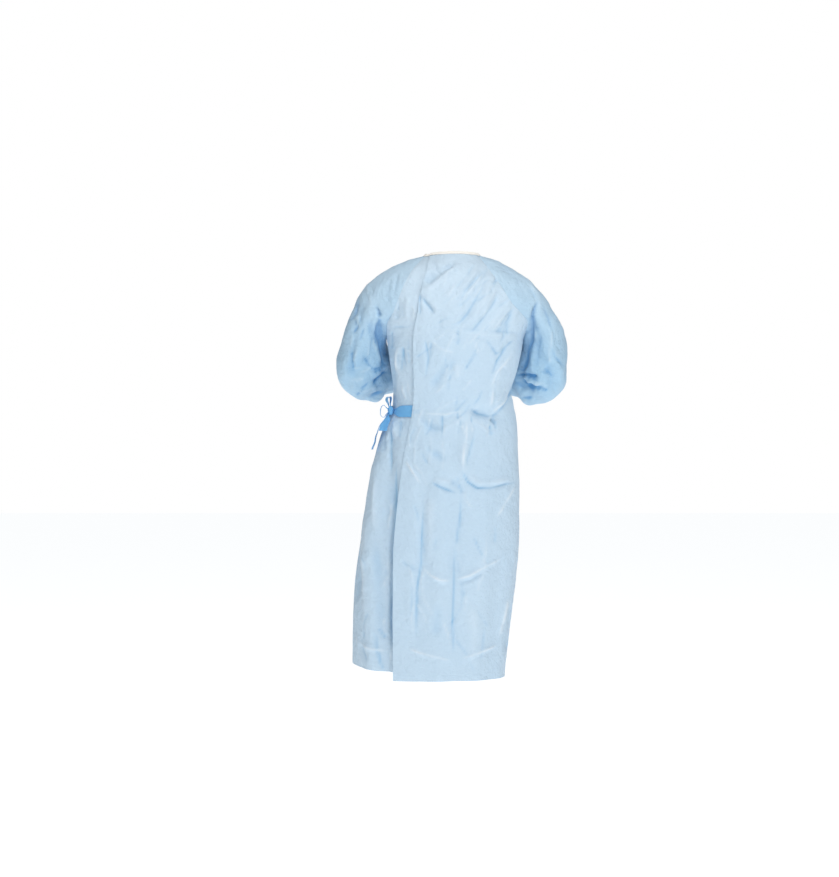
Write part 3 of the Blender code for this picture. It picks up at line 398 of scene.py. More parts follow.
rightSleeveCreases = drawn(
    ("soft", 20, -3.4, 216, -205, 203, -262, 190, -318, 180, -352),
    ("soft", 10, -2.2, 220, -190, 206, -250, 196, -310, 180, -356),
    ("sharp", 5.5, -5, 229, -144, 216, -183, 209, -226),
    ("sharp", 6.5, -5, 206.9, -216, 202, -262, 193, -310, 179, -350),
    ("sharp", 5.5, -5.6, 164, -352.2, 190, -348, 230, -356),
    ("sharp", 5.5, -5, 176, -360, 204, -374, 236, -391),
    ("sharp", 4.5, 3, 178, -354, 206, -364, 238, -374),
    ("sharp", 7, -4.2, 227.6, -150.9, 219, -183.2, 211.5, -210, 200.2, -244.9),
    ("soft", 9, -2.6, 236.4, -228.8, 225.7, -282.5, 220.3, -336.1),
    ("sharp", 6, -4.4, 169.3, -349.6, 196.2, -354.9, 228.4, -357.6),
    ("sharp", 6, -3.4, 177.4, -363, 198.8, -384.5, 219, -400.6),
    ("sharp", 6, -2.6, 198.8, -373.7, 217.6, -387.1, 236.4, -389.8),
    ("soft", 6, 2.8, 177.4, -357.6, 206.9, -371, 236.4, -379.1),
    ("soft", 7, 3, 163.9, -360.3, 180.1, -387.1, 198.8, -408.6),
    ("soft", 10, -2.2, 249.8, -314.7, 263.3, -357.6, 257.9, -395.2),
    ("soft", 15, 2.2, 177.4, -78.5, 217.6, -126.8, 247.2, -177.8),
    ("soft", 10, -1.8, 118.3, -43.6, 158.6, -78.5, 188.1, -118.7),
    ("soft", 9, 2.2, 255.2, -201.9, 268.6, -269, 276.7, -314.7),
    ("sharp", 6, -1.6, 233.7, -148.3, 255.2, -196.6, 265.9, -234.1),
)
# The front isn't in the picture: the same kinds of crease, drawn in to the neck, the armholes and the tie.
frontCreases = drawn(
    ("sharp", 7, -2.6, 62, -102, 85, -150, 98, -205),
    ("soft", 9, 2.2, 45, -108, 66, -160, 78, -225),
    ("sharp", 7, -2.4, -55, -104, -82, -158, -96, -222),
    ("soft", 9, 2.2, -36, -112, -60, -170, -70, -240),
    ("sharp", 7, -2.6, 170, -200, 130, -236, 96, -290),
    ("soft", 9, 2.4, 176, -222, 138, -262, 110, -318),
    ("sharp", 7, -2.6, -160, -206, -124, -240, -84, -286),
    ("soft", 9, 2.2, -162, -232, -126, -270, -96, -330),
    ("sharp", 5.5, -1.6, -150, -246, -40, -240, 60, -243, 160, -250),
    ("sharp", 5, -1.8, 22, -250, 24, -318),
    ("soft", 10, -2.2, 60, -330, 10, -378, -42, -424),
    ("soft", 12, 2, 84, -346, 30, -402, -20, -432),
    ("sharp", 6, -3.2, -150, -430, -108, -414, -62, -410),
    ("sharp", 6, -3, -150, -462, -104, -486, -50, -494),
    ("soft", 8, 2.6, -140, -478, -94, -506, -60, -548),
    ("sharp", 6, -2.4, 100, -448, 62, -458, 22, -452),
    ("soft", 8, 2.4, 96, -462, 60, -480, 34, -520),
    ("sharp", 8, -3, -40, -500, -48, -640, -46, -800, -54, -960),
    ("sharp", 8, -3.2, 38, -520, 36, -700, 30, -860, 34, -1100),
    ("soft", 13, 2.4, 0, -560, -6, -760, -8, -1000),
    ("sharp", 6, 2.8, -130, -640, -90, -664, -48, -668),
    ("sharp", 6, -2.6, -36, -652, 10, -668, 74, -652, 140, -640),
    ("soft", 9, 2.4, 8, -646, 60, -638, 120, -624),
    ("sharp", 6, 3, -190, -860, -130, -884, -60, -894),
    ("sharp", 6, 3.2, -48, -896, 20, -888, 86, -860, 140, -848),
    ("soft", 7, -2, -44, -908, 26, -902, 84, -876),
    ("sharp", 6, 2.2, -200, -1080, -110, -1098, -20, -1104, 110, -1082),
    ("soft", 11, -2.6, -186, -700, -200, -900, -196, -1080),
    ("sharp", 6, 2.4, 132, -700, 118, -780, 120, -840),
    ("soft", 10, -2.4, 128, -900, 112, -1020, 114, -1130),
)
# Round the arm where the picture doesn't show it, again in steps and degrees.
innerSleeveCreases = drawn(
    ("sharp", 7, -3.4, 0.6, 150, 1.6, 118, 2.6, 96),
    ("soft", 9, 3, 0.9, 160, 2, 128, 3, 108),
    ("sharp", 7, -3, 1.5, 168, 2.5, 140, 3.4, 122),
    ("sharp", 6, -3.6, 3, 152, 3.8, 116, 4.2, 78),
    ("soft", 7, 3.2, 3.3, 160, 4.1, 122, 4.5, 84),
    ("sharp", 6, -3.6, 3.8, 168, 4.5, 128, 4.9, 92),
    ("soft", 7, 2.8, 4.3, 172, 4.9, 136, 5.3, 104),
    ("sharp", 6, -2.6, 4.8, -172, 5.4, -140, 5.9, -112),
    ("soft", 8, 2.4, 5.2, -168, 5.9, -128, 6.3, -96),
    ("sharp", 6, -2.6, 5.6, 60, 6.6, 88, 7.2, 124),
    ("soft", 8, 2.2, 5.9, 44, 7, 70, 7.7, 104),
    ("sharp", 6, -2.6, 6, -30, 7.1, -62, 7.9, -104),
    ("soft", 8, 2.4, 6.4, -18, 7.5, -46, 8.3, -84),
    ("sharp", 6, -2.2, 7.3, 10, 8.2, 30, 8.8, 62),
    ("soft", 10, -2.4, 0.6, 42, 1.9, 34, 3.2, 18),
    ("soft", 12, 2.6, 1, 70, 2.4, 64, 3.6, 44),
    ("soft", 10, -2.4, 3.4, 4, 4.4, -10, 5.3, -32),
    ("sharp", 7, 2.4, 3.9, 30, 5, 22, 6, 30),
    place=float,
)

# Short creases strewn between the drawn ones: how many, where across and up, their lean and its spread
# in degrees, shortest and longest, and how far each stands out or in.
strewn = {
    "outer": (
        (26, (0.000, 0.150), (-0.300, -0.060), 52, 14, 0.040, 0.100, 0.0011),
        (26, (-0.080, 0.165), (-0.450, -0.210), 64, 40, 0.035, 0.085, 0.0011),
        (12, (-0.080, 0.020), (-0.220, -0.060), 48, 30, 0.025, 0.060, 0.0009),
        (14, (-0.090, 0.150), (-0.500, -0.450), 90, 28, 0.025, 0.060, 0.0011),
        (34, (-0.120, 0.155), (-1.120, -0.500), 96, 30, 0.040, 0.130, 0.0009),
    ),
    "under": (
        (16, (-0.175, -0.105), (-0.440, -0.100), 92, 12, 0.030, 0.080, 0.0012),
        (16, (-0.250, -0.140), (-1.120, -0.460), 92, 14, 0.040, 0.110, 0.0012),
    ),
    "left": (
        (18, (-0.275, -0.190), (-0.330, -0.100), 82, 20, 0.030, 0.080, 0.0015),
        (14, (-0.260, -0.160), (-0.410, -0.330), 28, 22, 0.025, 0.060, 0.0018),
    ),
    "right": (
        (18, (0.200, 0.290), (-0.330, -0.100), 104, 20, 0.030, 0.080, 0.0015),
        (14, (0.165, 0.260), (-0.410, -0.330), 150, 22, 0.025, 0.060, 0.0018),
    ),
    "front": (
        (30, (-0.150, 0.150), (-0.430, -0.110), 90, 60, 0.025, 0.060, 0.0012),
        (36, (-0.180, 0.150), (-1.120, -0.450), 90, 36, 0.030, 0.090, 0.0011),
    ),
}


def strewnCreases(where):
    dice = np.random.RandomState(len(where) * 7 + ord(where[0]))
    made = []
    for count, across, up, lean, spread, shortest, longest, lift in strewn[where]:
        for _ in range(count):
            x, z = dice.uniform(*across), dice.uniform(*up)
            angle, length = radians(lean + spread * dice.uniform(-1, 1)), dice.uniform(shortest, longest)
            dx, dz, bend = np.cos(angle) * length / 2, np.sin(angle) * length / 2, dice.uniform(-0.2, 0.2)
            line = ((x - dx, z - dz), (x - dz * bend, z + dx * bend), (x + dx, z + dz))
            width = dice.uniform(0.0035, 0.0055)
            made.append(("sharp", width, lift * dice.choice((-1, 1)) * dice.uniform(0.6, 1.3), line))
    return tuple(made)


outerCreases += strewnCreases("outer")
underCreases += strewnCreases("under")
leftSleeveCreases += strewnCreases("left")
rightSleeveCreases += strewnCreases("right")
frontCreases += strewnCreases("front")


def smooth(keys, values, at):
    at = np.clip(at, keys[0], keys[-1])
    slopes = np.gradient(values, keys)
    i = np.clip(np.searchsorted(keys, at) - 1, 0, len(keys) - 2)
    width = keys[i + 1] - keys[i]
    s = (at - keys[i]) / width
    start = values[i] * (1 + 2 * s) * (1 - s) ** 2 + slopes[i] * width * s * (1 - s) ** 2
    return start + values[i + 1] * (3 - 2 * s) * s**2 + slopes[i + 1] * width * s**2 * (s - 1)


def seamPoints(line, rises):
    return np.stack([smooth(line["rise"], line[axis], rises) for axis in "xyz"], -1)


def unit(vectors):
    return vectors / np.maximum(np.linalg.norm(vectors, axis=-1, keepdims=True), 1e-12)


def ease(share):
    share = np.clip(share, 0.0, 1.0)
    return share * share * (3 - 2 * share)


def bulge(value, square):
    return np.sign(value) * np.abs(value) ** (2 / square)


def arc(first, apex, last, turn, shares, square):
    middle = (first + last) / 2
    reach = (apex - middle) / (1 + bulge(np.cos(turn), square))[:, None]
    half = (last - first) / (2 * bulge(np.sin(turn), square))[:, None]
    angle = shares * (pi - turn)[:, None]
    along = bulge(np.cos(angle), square[:, None])[..., None]
    aside = bulge(np.sin(angle), square[:, None])[..., None]
    return (apex - reach)[:, None] + reach[:, None] * along + half[:, None] * aside


def bodySurface(side, levels, shares):
    # levels run from -1 at the hem over 0 at the underarms to 1 at the neck, shares from seam to seam
    drop = gown["armpitDrop"] - np.minimum(levels, 0) * (gown["hemDrop"] - gown["armpitDrop"])
    size = {name: smooth(bodySections["drop"], bodySections[name], drop) for name in bodySections}
    low = (levels <= 0)[:, None]
    rises = np.maximum(levels, 0)
    back = side == "back"
    left = np.where(low, np.stack([-size["left"], size["seam"], -drop], 1),
                    seamPoints(leftBackSeam if back else leftFrontSeam, rises))
    right = np.where(low, np.stack([size["right"], size["seam"], -drop], 1),
                     seamPoints(rightBackSeam if back else rightFrontSeam, rises))
    depth = -size["back"] if back else size["front"]
    apex = np.where(low, np.stack([(size["right"] - size["left"]) / 2, depth, -drop], 1),
                    seamPoints(backMiddle if back else frontMiddle, rises))
    turn = np.where(levels <= 0, pi / 2, np.radians(smooth(yokeTurn["rise"], yokeTurn["body"], rises)))
    square = np.where(levels <= 0, size["square"], 2.0 + 0.25 * ease(1 - rises / 0.3))
    if back:
        return arc(left, apex, right, turn, shares, square)
    return arc(right, apex, left, turn, shares, square)


def edgeShares(edge, levels):
    # where a back panel's free edge crosses each row
    share = np.zeros(len(levels))
    for _ in range(5):
        drop = -bodySurface("back", levels, share[:, None])[:, 0, 2]
        aim = smooth(edge["drop"], edge["x"], drop)
        low, high = np.full(len(levels), -1.0), np.full(len(levels), 1.0)
        for _ in range(26):
            share = (low + high) / 2
            short = bodySurface("back", levels, share[:, None])[:, 0, 0] < aim
            low, high = np.where(short, share, low), np.where(short, high, share)
    return share


def gridNormals(points):
    return unit(np.cross(np.gradient(points, axis=1), np.gradient(points, axis=0)))


def largeRelief(folds, u, v):
    total = np.zeros_like(u)
    for u1, v1, u2, v2, width, lift in zip(*(folds[name] for name in folds)):
        du, dv = u2 - u1, v2 - v1
        share = np.clip(((u - u1) * du + (v - v1) * dv) / (du * du + dv * dv), 0, 1)
        distance = np.hypot(u - u1 - share * du, v - v1 - share * dv)
        total += lift * np.exp(-((distance / width) ** 2))
    return total


def creaseRelief(creases, u, v, scale=1.0):
    # A crease is highest along its line and dies out to the line's ends.
    # The tone is painted light: more than nothing for a painted highlight along a raised crease, and less for
    # painted shade along a sunken one.
    total, tone = np.zeros_like(u), np.zeros_like(u)
    for n, (kind, width, lift, line) in enumerate(creases):
        line = np.array(line, float)
        reach = 5 * width
        near = (u > line[:, 0].min() - reach) & (u < line[:, 0].max() + reach)
        near &= (v > line[:, 1].min() - reach) & (v < line[:, 1].max() + reach)
        if not near.any():
            continue
        a, b = u[near], v[near]
        lengths = np.hypot(*np.diff(line, axis=0).T)
        starts, whole = np.concatenate([[0], np.cumsum(lengths)]), lengths.sum()
        best = np.full(a.shape, 1e9)
        side, along = np.zeros_like(a), np.zeros_like(a)
        for k, length in enumerate(lengths):
            du, dv = (line[k + 1] - line[k]) / length
            run = np.clip((a - line[k, 0]) * du + (b - line[k, 1]) * dv, 0, length)
            da, db = a - line[k, 0] - run * du, b - line[k, 1] - run * dv
            distance = np.hypot(da, db)
            closer = distance < best
            best = np.where(closer, distance, best)
            side = np.where(closer, du * db - dv * da, side)
            along = np.where(closer, (starts[k] + run) / whole, along)
        uneven = 0.82 + 0.28 * np.sin(6.5 * along + 2.3 * n) + 0.12 * np.sin(17 * along + 1.1 * n)
        ends = ease(along / creaseMark["fade"]) * ease((1 - along) / creaseMark["fade"])
        width = width * gown["creaseWidth"] * (1 + 0.25 * np.sin(4.1 * along + 1.7 * n))
        if kind == "soft":
            shape = np.exp(-((best / width) ** 2))
        elif kind == "sharp":
            shape = np.clip(1 - best / (1.8 * width), 0, 1) ** 1.25
        else:
            shape = side / width * np.exp(0.5 - 0.5 * (side / width) ** 2) * (best < abs(side) * 1.05 + 1e-9)
        total[near] += scale * lift * shape * ends * uneven
        if kind == "step":
            mark = creaseMark["step"] * shape
        else:
            mark = creaseMark["soft"] * np.exp(-((best / width) ** 2))
        if kind == "sharp":
            mark = mark * creaseMark["besideLine"] + np.exp(-((best / gown["creaseLine"]) ** 2))
        tone[near] += np.sign(lift) * min(1.0, abs(lift) / creaseMark["fullLift"]) * mark * ends * uneven
    return total, tone


grain = np.random.RandomState(noise["seed"]).uniform(-1, 1, (4, *[noise["cells"]] * 3))


def cloud(points, cell, which):
    # smooth noise through space, so that it runs on over a seam
    at = points / np.array(cell) + noise["offset"]
    base = np.floor(at).astype(int)
    f = ease(at - base)
    total = 0.0
    for dx in (0, 1):
        for dy in (0, 1):
            for dz in (0, 1):
                weight = np.where(dx, f[..., 0], 1 - f[..., 0])
                weight = weight * np.where(dy, f[..., 1], 1 - f[..., 1])
                weight = weight * np.where(dz, f[..., 2], 1 - f[..., 2])
                i, j, k = np.moveaxis((base + (dx, dy, dz)) % noise["cells"], -1, 0)
                total = total + weight * grain[which, i, j, k]
    return total


def crumples(points, height, stretch):
    # creased like paper: sharp lines where a smooth noise crosses nothing
    wide = np.array(noise["wide"]) * (1, 1, stretch)
    fine = wide * noise["fine"]
    total = np.abs(cloud(points, wide, 0)) - np.abs(cloud(points, wide * 0.9, 1))
    total = total + 0.45 * (np.abs(cloud(points, fine, 2)) - np.abs(cloud(points, fine * 1.1, 3)))
    slow = cloud(points, np.array(noise["slow"]) * (1, 1, stretch), 1)
    return height * total + gown["undulation"] * slow


def seenFromBehind(points):
    # where a point shows for the eye behind the gown, measured on the plane of the back
    scale = eyeToBack / (points[..., 1] - eyeAt[1])
    return tuple((points[..., k] - eyeAt[k]) * scale + eyeAt[k] for k in (0, 2))


def hemShift(panel, levels, shares, freeShares):
    if panel == "front":
        hem = gown["rightHemDrop"] + (gown["leftHemDrop"] - gown["rightHemDrop"]) * (shares + 1) / 2
    elif panel == "under":
        way = ease((shares + 1) / (freeShares[:, None] + 1))
        hem = gown["leftHemDrop"] + (gown["underHemDrop"] - gown["leftHemDrop"]) * way
    else:
        hem = gown["hemDrop"] + (gown["rightHemDrop"] - gown["hemDrop"]) * ease(shares)
    return np.minimum(levels, 0)[:, None] * (hem - gown["hemDrop"])


def tiePress(points, panel):
    # the tie presses the cloth under it flat
    near = ease(1.5 - np.abs(points[..., 2] + gown["waistDrop"]) / 0.022)
    if panel == "under":
        return near
    if panel == "front":
        return near * ease((-0.06 - points[..., 0]) / 0.03)
    return near * 0


def bodyPanel(panel, levels, shares, freeShares):
    side = "front" if panel == "front" else "back"
    plain = bodySurface(side, levels, shares)
    covered = ease((shares - freeShares[:, None]) / 0.15)
    if panel == "under":
        step = 0.01
        across = bodySurface(side, levels, np.minimum(shares + step, 1)) - bodySurface(side, levels, shares - step)
        outward = unit(np.stack([across[..., 1], -across[..., 0], 0 * shares], -1))
        inset = gown["underInset"] * ease(1.25 * (shares + 1) / (freeShares[:, None] + 1))
        plain = plain - outward * (inset + gown["coveredInset"] * covered)[..., None]
    plain[..., 2] += hemShift(panel, levels, shares, freeShares)
    normals = gridNormals(plain)
    x, z = plain[..., 0], plain[..., 2]
    u, v = seenFromBehind(plain)
    # tone: the painted highlight and painted shade along the creases
    if panel == "front":
        lift = largeRelief(largeFrontFolds, x, z)
        fine, tone = creaseRelief(frontCreases, x, z, gown["creaseDepth"])
    elif panel == "outer":
        lift = largeRelief(largeBackFolds, x, z) * gown["backFolds"]
        fine, tone = creaseRelief(outerCreases, u, v, gown["creaseDepth"])
    else:
        lift = largeRelief(largeBackFolds, x, z) * (1 - covered) * gown["backFolds"]
        lift = lift + largeRelief(largeUnderFolds, x, z)
        fine, tone = creaseRelief(underCreases, u, v, gown["creaseDepth"])
        fine, tone = fine * (1 - covered), tone * (1 - covered)
    seams = ease((1 - np.abs(shares)) / 0.12) * ease((1 - levels) / 0.25)[:, None]
    small = crumples(plain, gown["crumple"], 1.9) * (0.35 + 0.65 * ease((1 - np.abs(shares)) / 0.05))
    small = small * ease((1.02 - levels) / 0.2)[:, None] * ease(np.abs(levels - 0.02) / 0.05 + 0.35)[:, None]
    if panel == "under":
        small = small * (1 - 0.8 * covered)
    held = 1 - 0.85 * tiePress(plain, panel)
    lift = lift * seams + fine * ease((1 - np.abs(shares)) / 0.05) * ease((1.02 - levels) / 0.12)[:, None] * held
    lift = lift + small * held
    if panel == "outer":
        away = np.abs(x - smooth(outerEdge["drop"], outerEdge["x"], -z))
        fromStand = (z + freeEdge["standDrop"]) / freeEdge["standHalf"]
        flap = freeEdge["stand"] * np.exp(-(fromStand**2)) + freeEdge["lift"]
        loose = 1 - 0.8 * ease(1.5 - np.abs(z + gown["waistDrop"]) / 0.03)
        flap = flap * ease((1 - levels) / 0.2)[:, None] * loose
        lift = lift + flap * np.exp(-((away / freeEdge["width"]) ** 2))
    return plain + normals * lift[..., None], tone


def collar(top, below):
    rise = unit(unit(top - below) + np.array((0, 0, gown["collarRise"]))) * gown["collarHeight"]
    return np.stack([top + rise * share for share in (0.35, 0.7, 1.0)])


def armFrames(arm, firstAcross, steps):
    coarse = np.linspace(0, arm["step"][-1], 14)
    centres = np.stack([smooth(arm["step"], arm[axis], coarse) for axis in "xyz"], 1)
    across = unit(firstAcross)
    crosses, deeps = [], []
    for i in range(len(coarse)):
        if i == 0:
            ahead = unit(np.cross(across, np.array((0.0, 1.0, 0.0))))
            ahead = ahead if ahead[2] < 0 else -ahead
        else:
            ahead = unit(centres[min(i + 1, len(coarse) - 1)] - centres[i - 1])
        across = unit(across - ahead * (across @ ahead))
        crosses.append(across)
        deeps.append(np.cross(across, ahead))
    crosses, deeps = np.array(crosses), np.array(deeps)
    across = unit(np.stack([smooth(coarse, crosses[:, k], steps) for k in range(3)], 1))
    deep = unit(np.stack([smooth(coarse, deeps[:, k], steps) for k in range(3)], 1))
    centre = np.stack([smooth(arm["step"], arm[axis], steps) for axis in "xyz"], 1)
    return centre, across, deep


def sleeveYoke(rings, shoulder, firstSeam, lastSeam, rises, shares):
    # above the underarm the sleeve opens: arcs over the shoulder at every eighth, and smooth rows between
    eighths = np.arange(1, 9) / 8
    turns = np.radians(smooth(yokeTurn["rise"], yokeTurn["sleeve"], eighths))
    first, top, last = (seamPoints(line, eighths) for line in (firstSeam, shoulder, lastSeam))
    arcs = arc(first, top, last, turns, np.broadcast_to(shares, (8, len(shares))), np.full(8, 2.0))
    coarse = np.concatenate([rings[-1:], arcs])
    step = 1 / 8
    slopes = np.gradient(coarse, step, axis=0)
    armStep = gown["armLength"] / gown["armRows"] / gown["yokeLength"]
    slopes[0] = (rings[-1] - rings[-2]) / armStep
    i = np.clip((rises / step).astype(int), 0, 7)
    s = (rises / step - i)[:, None, None]
    rows = coarse[i] * (1 + 2 * s) * (1 - s) ** 2 + slopes[i] * step * s * (1 - s) ** 2
    rows += coarse[i + 1] * (3 - 2 * s) * s**2 + slopes[i + 1] * step * s**2 * (s - 1)
    for column, line in ((0, firstSeam), (-1, lastSeam)):
        miss = (seamPoints(line, rises) - rows[:, column])[:, None]
        near = ease((-shares if column == 0 else shares) * 2.5 - 1.5)
        rows = rows + miss * near[None, :, None]
    return rows


def sleevePanel(arm, shoulder, firstSeam, lastSeam, creases, rises, shares):
    # rows from the wrist up to the neck, each from the first seam round the outside to the last
    underarm, crown = seamPoints(firstSeam, np.zeros(1))[0], seamPoints(shoulder, np.zeros(1))[0]
    steps = np.linspace(arm["step"][-1], 0, gown["armRows"] + 1)
    centre, across, deep = armFrames(arm, crown - underarm, steps)
    wide = smooth(arm["step"], arm["across"], steps)[:, None, None]
    thick = smooth(arm["step"], arm["deep"], steps)[:, None, None]
    turn = (pi * shares)[:, None]
    rings = centre[:, None] + across[:, None] * wide * np.cos(turn) + deep[:, None] * thick * np.sin(turn)
    rows = sleeveYoke(rings, shoulder, firstSeam, lastSeam, rises, shares)
    ringNormals = gridNormals(np.concatenate([rings, rows[:2]]))[: len(rings)]
    folds = dict(largeSleeveFolds)
    sign = -1 if underarm[0] < 0 else 1
    armStep, radius = gown["armStep"], gown["armRadius"]
    for end in "12":
        folds["u" + end] = largeSleeveFolds["u" + end] * armStep
        folds["v" + end] = np.radians(largeSleeveFolds["v" + end]) * radius * sign
    along = np.concatenate([steps * armStep, -rises * gown["yokeLength"]])[:, None] + 0 * shares
    around = np.broadcast_to(shares * pi * radius, along.shape)
    hold = np.ones(along.shape)
    hold[: len(rings)] = ease((arm["step"][-1] - steps) / 0.8)[:, None]
    hold[len(rings):] = ease((1 - np.abs(shares)) / 0.10)
    lift = largeRelief(folds, along, around) * hold
    inner = [
        (kind, width, height, [(a * armStep, np.radians(b) * radius * sign) for a, b in line])
        for kind, width, height, line in innerSleeveCreases
    ]
    fine, tone = creaseRelief(inner, along, around, gown["sleeveCreaseDepth"])
    fine = fine * hold
    points = np.concatenate([rings, rows])
    normals = gridNormals(points)
    normals[: len(rings)] = ringNormals
    closed = unit(normals[: len(rings), 0] + normals[: len(rings), -1])
    normals[: len(rings), 0] = normals[: len(rings), -1] = closed
    total = lift + fine
    u, v = seenFromBehind(points)
    facing = ease(-normals[..., 1] * 1.6 + 0.15)
    seams = np.ones(points.shape[:2])
    seams[len(rings):] = ease((1 - np.abs(shares)) / 0.06) * ease((1.02 - rises) / 0.12)[:, None]
    seen, seenTone = creaseRelief(creases, u, v, gown["sleeveCreaseDepth"])
    total += seen * facing * seams
    # the painted highlight and painted shade along the sleeve's creases
    tone = tone * hold + seenTone * ease(-normals[..., 1] * 3 + 0.5) * seams
    small = crumples(points, gown["sleeveCrumple"], 1.2)
    ends = np.concatenate([0.25 + 0.75 * ease((arm["step"][-1] - steps) / 0.7), ease((1.02 - rises) / 0.2)])
    nearSeam = np.ones(points.shape[:2])
    nearSeam[len(rings):] = 0.35 + 0.65 * ease((1 - np.abs(shares)) / 0.08)
    total += small * ends[:, None] * nearSeam
    gathers = np.exp(-(arm["step"][-1] - steps) / gown["gatherReach"]) * gown["gatherHeight"]
    waves = np.sin(shares * pi * gown["gatherCount"] + 1.5 * np.sin(shares * pi * 5))
    total[: len(rings)] += gathers[:, None] * waves
    points = points + normals * total[..., None]
    points[: len(rings), 0] = points[: len(rings), -1] = (points[: len(rings), 0] + points[: len(rings), -1]) / 2
    return points, tone


def metresOnCloth(points):
    # flat co-ordinates of the cloth: along each row, and up it
    across = np.linalg.norm(np.diff(points, axis=1), axis=2)
    u = np.concatenate([np.zeros((len(points), 1)), np.cumsum(across, axis=1)], 1)
    u = u - u[:, -1:] / 2
    up = np.linalg.norm(np.diff(points, axis=0), axis=2).mean(axis=1)
    v = np.concatenate([[0], np.cumsum(up)])[:, None] + 0 * u
    return u, v


def clothArea(points):
    one = np.cross(points[1:, 1:] - points[:-1, :-1], points[1:, :-1] - points[:-1, 1:])
    return float(np.linalg.norm(one, axis=2).sum() / 2)


def sewnSheet(name, points, wall, rings=0, tone=None, sharpAt=60):
    # a closed thin wall: the points are its outer skin, and the first rows may be closed rings
    rows, columns = points.shape[:2]
    normals = gridNormals(points)
    if rings:
        both = unit(normals[:rings, 0] + normals[:rings, -1])
        normals[:rings, 0] = normals[:rings, -1] = both
    skins = np.stack([points, points - normals * wall])
    number = np.arange(2 * rows * columns).reshape(2, rows, columns)
    number[:, :rings, -1] = number[:, :rings, 0]
    used = np.unique(number)
    renumber = np.zeros(2 * rows * columns, int)
    renumber[used] = np.arange(len(used))
    number = renumber[number]
    u, v = metresOnCloth(points)
    flatUv = np.stack([u, v], -1)

    def quads(cells, flip):
        (a, b, c, d), (p, q, r, s) = cells
        order = (3, 2, 1, 0) if flip else (0, 1, 2, 3)
        faces = np.stack([(a, b, c, d)[k] for k in order], -1).reshape(-1, 4)
        uvs = np.stack([(p, q, r, s)[k] for k in order], -2).reshape(-1, 4, 2)
        return faces, uvs

    parts = []
    for skin in (0, 1):
        n = number[skin]
        corners = (n[:-1, :-1], n[:-1, 1:], n[1:, 1:], n[1:, :-1])
        places = (flatUv[:-1, :-1], flatUv[:-1, 1:], flatUv[1:, 1:], flatUv[1:, :-1])
        parts.append(quads((corners, places), flip=skin == 1))
    for row, flip in ((0, False), (rows - 1, True)):
        out, inn, place = number[0, row], number[1, row], flatUv[row]
        corners = (out[1:], out[:-1], inn[:-1], inn[1:])
        places = (place[1:], place[:-1], place[:-1], place[1:])
        parts.append(quads((corners, places), flip))
    first = max(rings - 1, 0)
    for column, flip in ((0, False), (columns - 1, True)):
        out, inn, place = number[0, first:, column], number[1, first:, column], flatUv[first:, column]
        if len(out) > 1:
            corners = (out[:-1], out[1:], inn[1:], inn[:-1])
            places = (place[:-1], place[1:], place[1:], place[:-1])
            parts.append(quads((corners, places), flip))
    faces = np.concatenate([part[0] for part in parts])
    uvs = np.concatenate([part[1] for part in parts])
    mesh = bpy.data.meshes.new(name)
    mesh.vertices.add(len(used))
    mesh.vertices.foreach_set("co", skins.reshape(-1, 3)[used].astype(np.float32).ravel())
    mesh.loops.add(faces.size)
    mesh.loops.foreach_set("vertex_index", faces.ravel())
    mesh.polygons.add(len(faces))
    mesh.polygons.foreach_set("loop_start", np.arange(0, faces.size, 4))
    mesh.uv_layers.new(name="cloth")
    mesh.update(calc_edges=True)
    mesh.validate(clean_customdata=False)
    mesh.uv_layers["cloth"].data.foreach_set("uv", uvs.reshape(-1, 2).astype(np.float32).ravel())
    # the crease tone goes onto the mesh: painted highlight along raised creases, painted shade along sunken ones
    if tone is not None:
        tones = np.zeros((2, rows, columns), np.float32)
        tones[:, : len(tone)] = tone
        worn = mesh.attributes.new("crease", "FLOAT", "POINT")
        worn.data.foreach_set("value", tones.ravel()[used])
    mesh.shade_smooth()
    mesh.set_sharp_from_angle(angle=radians(sharpAt))
    made = bpy.data.objects.new(name, mesh)
    bpy.context.collection.objects.link(made)
    area = clothArea(points)
    width = float((u[:, -1] - u[:, 0]).max())
    length = float(v[-1, 0])
    if area > width * length:
        width = area / length
    return made


levels = np.concatenate([
    -1 + np.arange(gown["skirtRows"]) / gown["skirtRows"],
    np.arange(gown["yokeRows"] + 1) / gown["yokeRows"],
])
outerFree, underFree = edgeShares(outerEdge, levels), edgeShares(underEdge, levels)


def spread(first, last, count):
    # columns between two edges, closer together beside each of them
    share = np.linspace(0, 1, count + 1)
    share = share - 0.35 * np.sin(2 * pi * share) / (2 * pi)
    return first[:, None] + (last - first)[:, None] * share


ones = np.ones(len(levels))
outerShares = spread(outerFree, ones, gown["outerColumns"])
underShares = spread(-ones, underFree, gown["underColumns"])
frontShares = spread(-ones, ones, gown["frontColumns"])
sleeveShares = np.linspace(-1, 1, gown["sleeveColumns"] + 1)
grids, tones = {}, {}
for panel, shares in (("outer", outerShares), ("under", underShares), ("front", frontShares)):
    grids[panel], tones[panel] = bodyPanel(panel, levels, shares, outerFree)
rises = levels[gown["skirtRows"] + 1:]
for side, *lines in (
    ("right", rightArm, rightShoulder, rightBackSeam, rightFrontSeam, rightSleeveCreases),
    ("left", leftArm, leftShoulder, leftFrontSeam, leftBackSeam, leftSleeveCreases),
):
    grids[side], tones[side] = sleevePanel(*lines, rises, sleeveShares)
print("cloth shaped")

# pieces meet along their seams: both take the same line
yoke = slice(gown["skirtRows"], None)
armYoke = slice(gown["armRows"], None)
skirt = slice(0, gown["skirtRows"] + 1)


def sew(one, two):
    line = (one + two) / 2
    one[...] = line
    two[...] = line


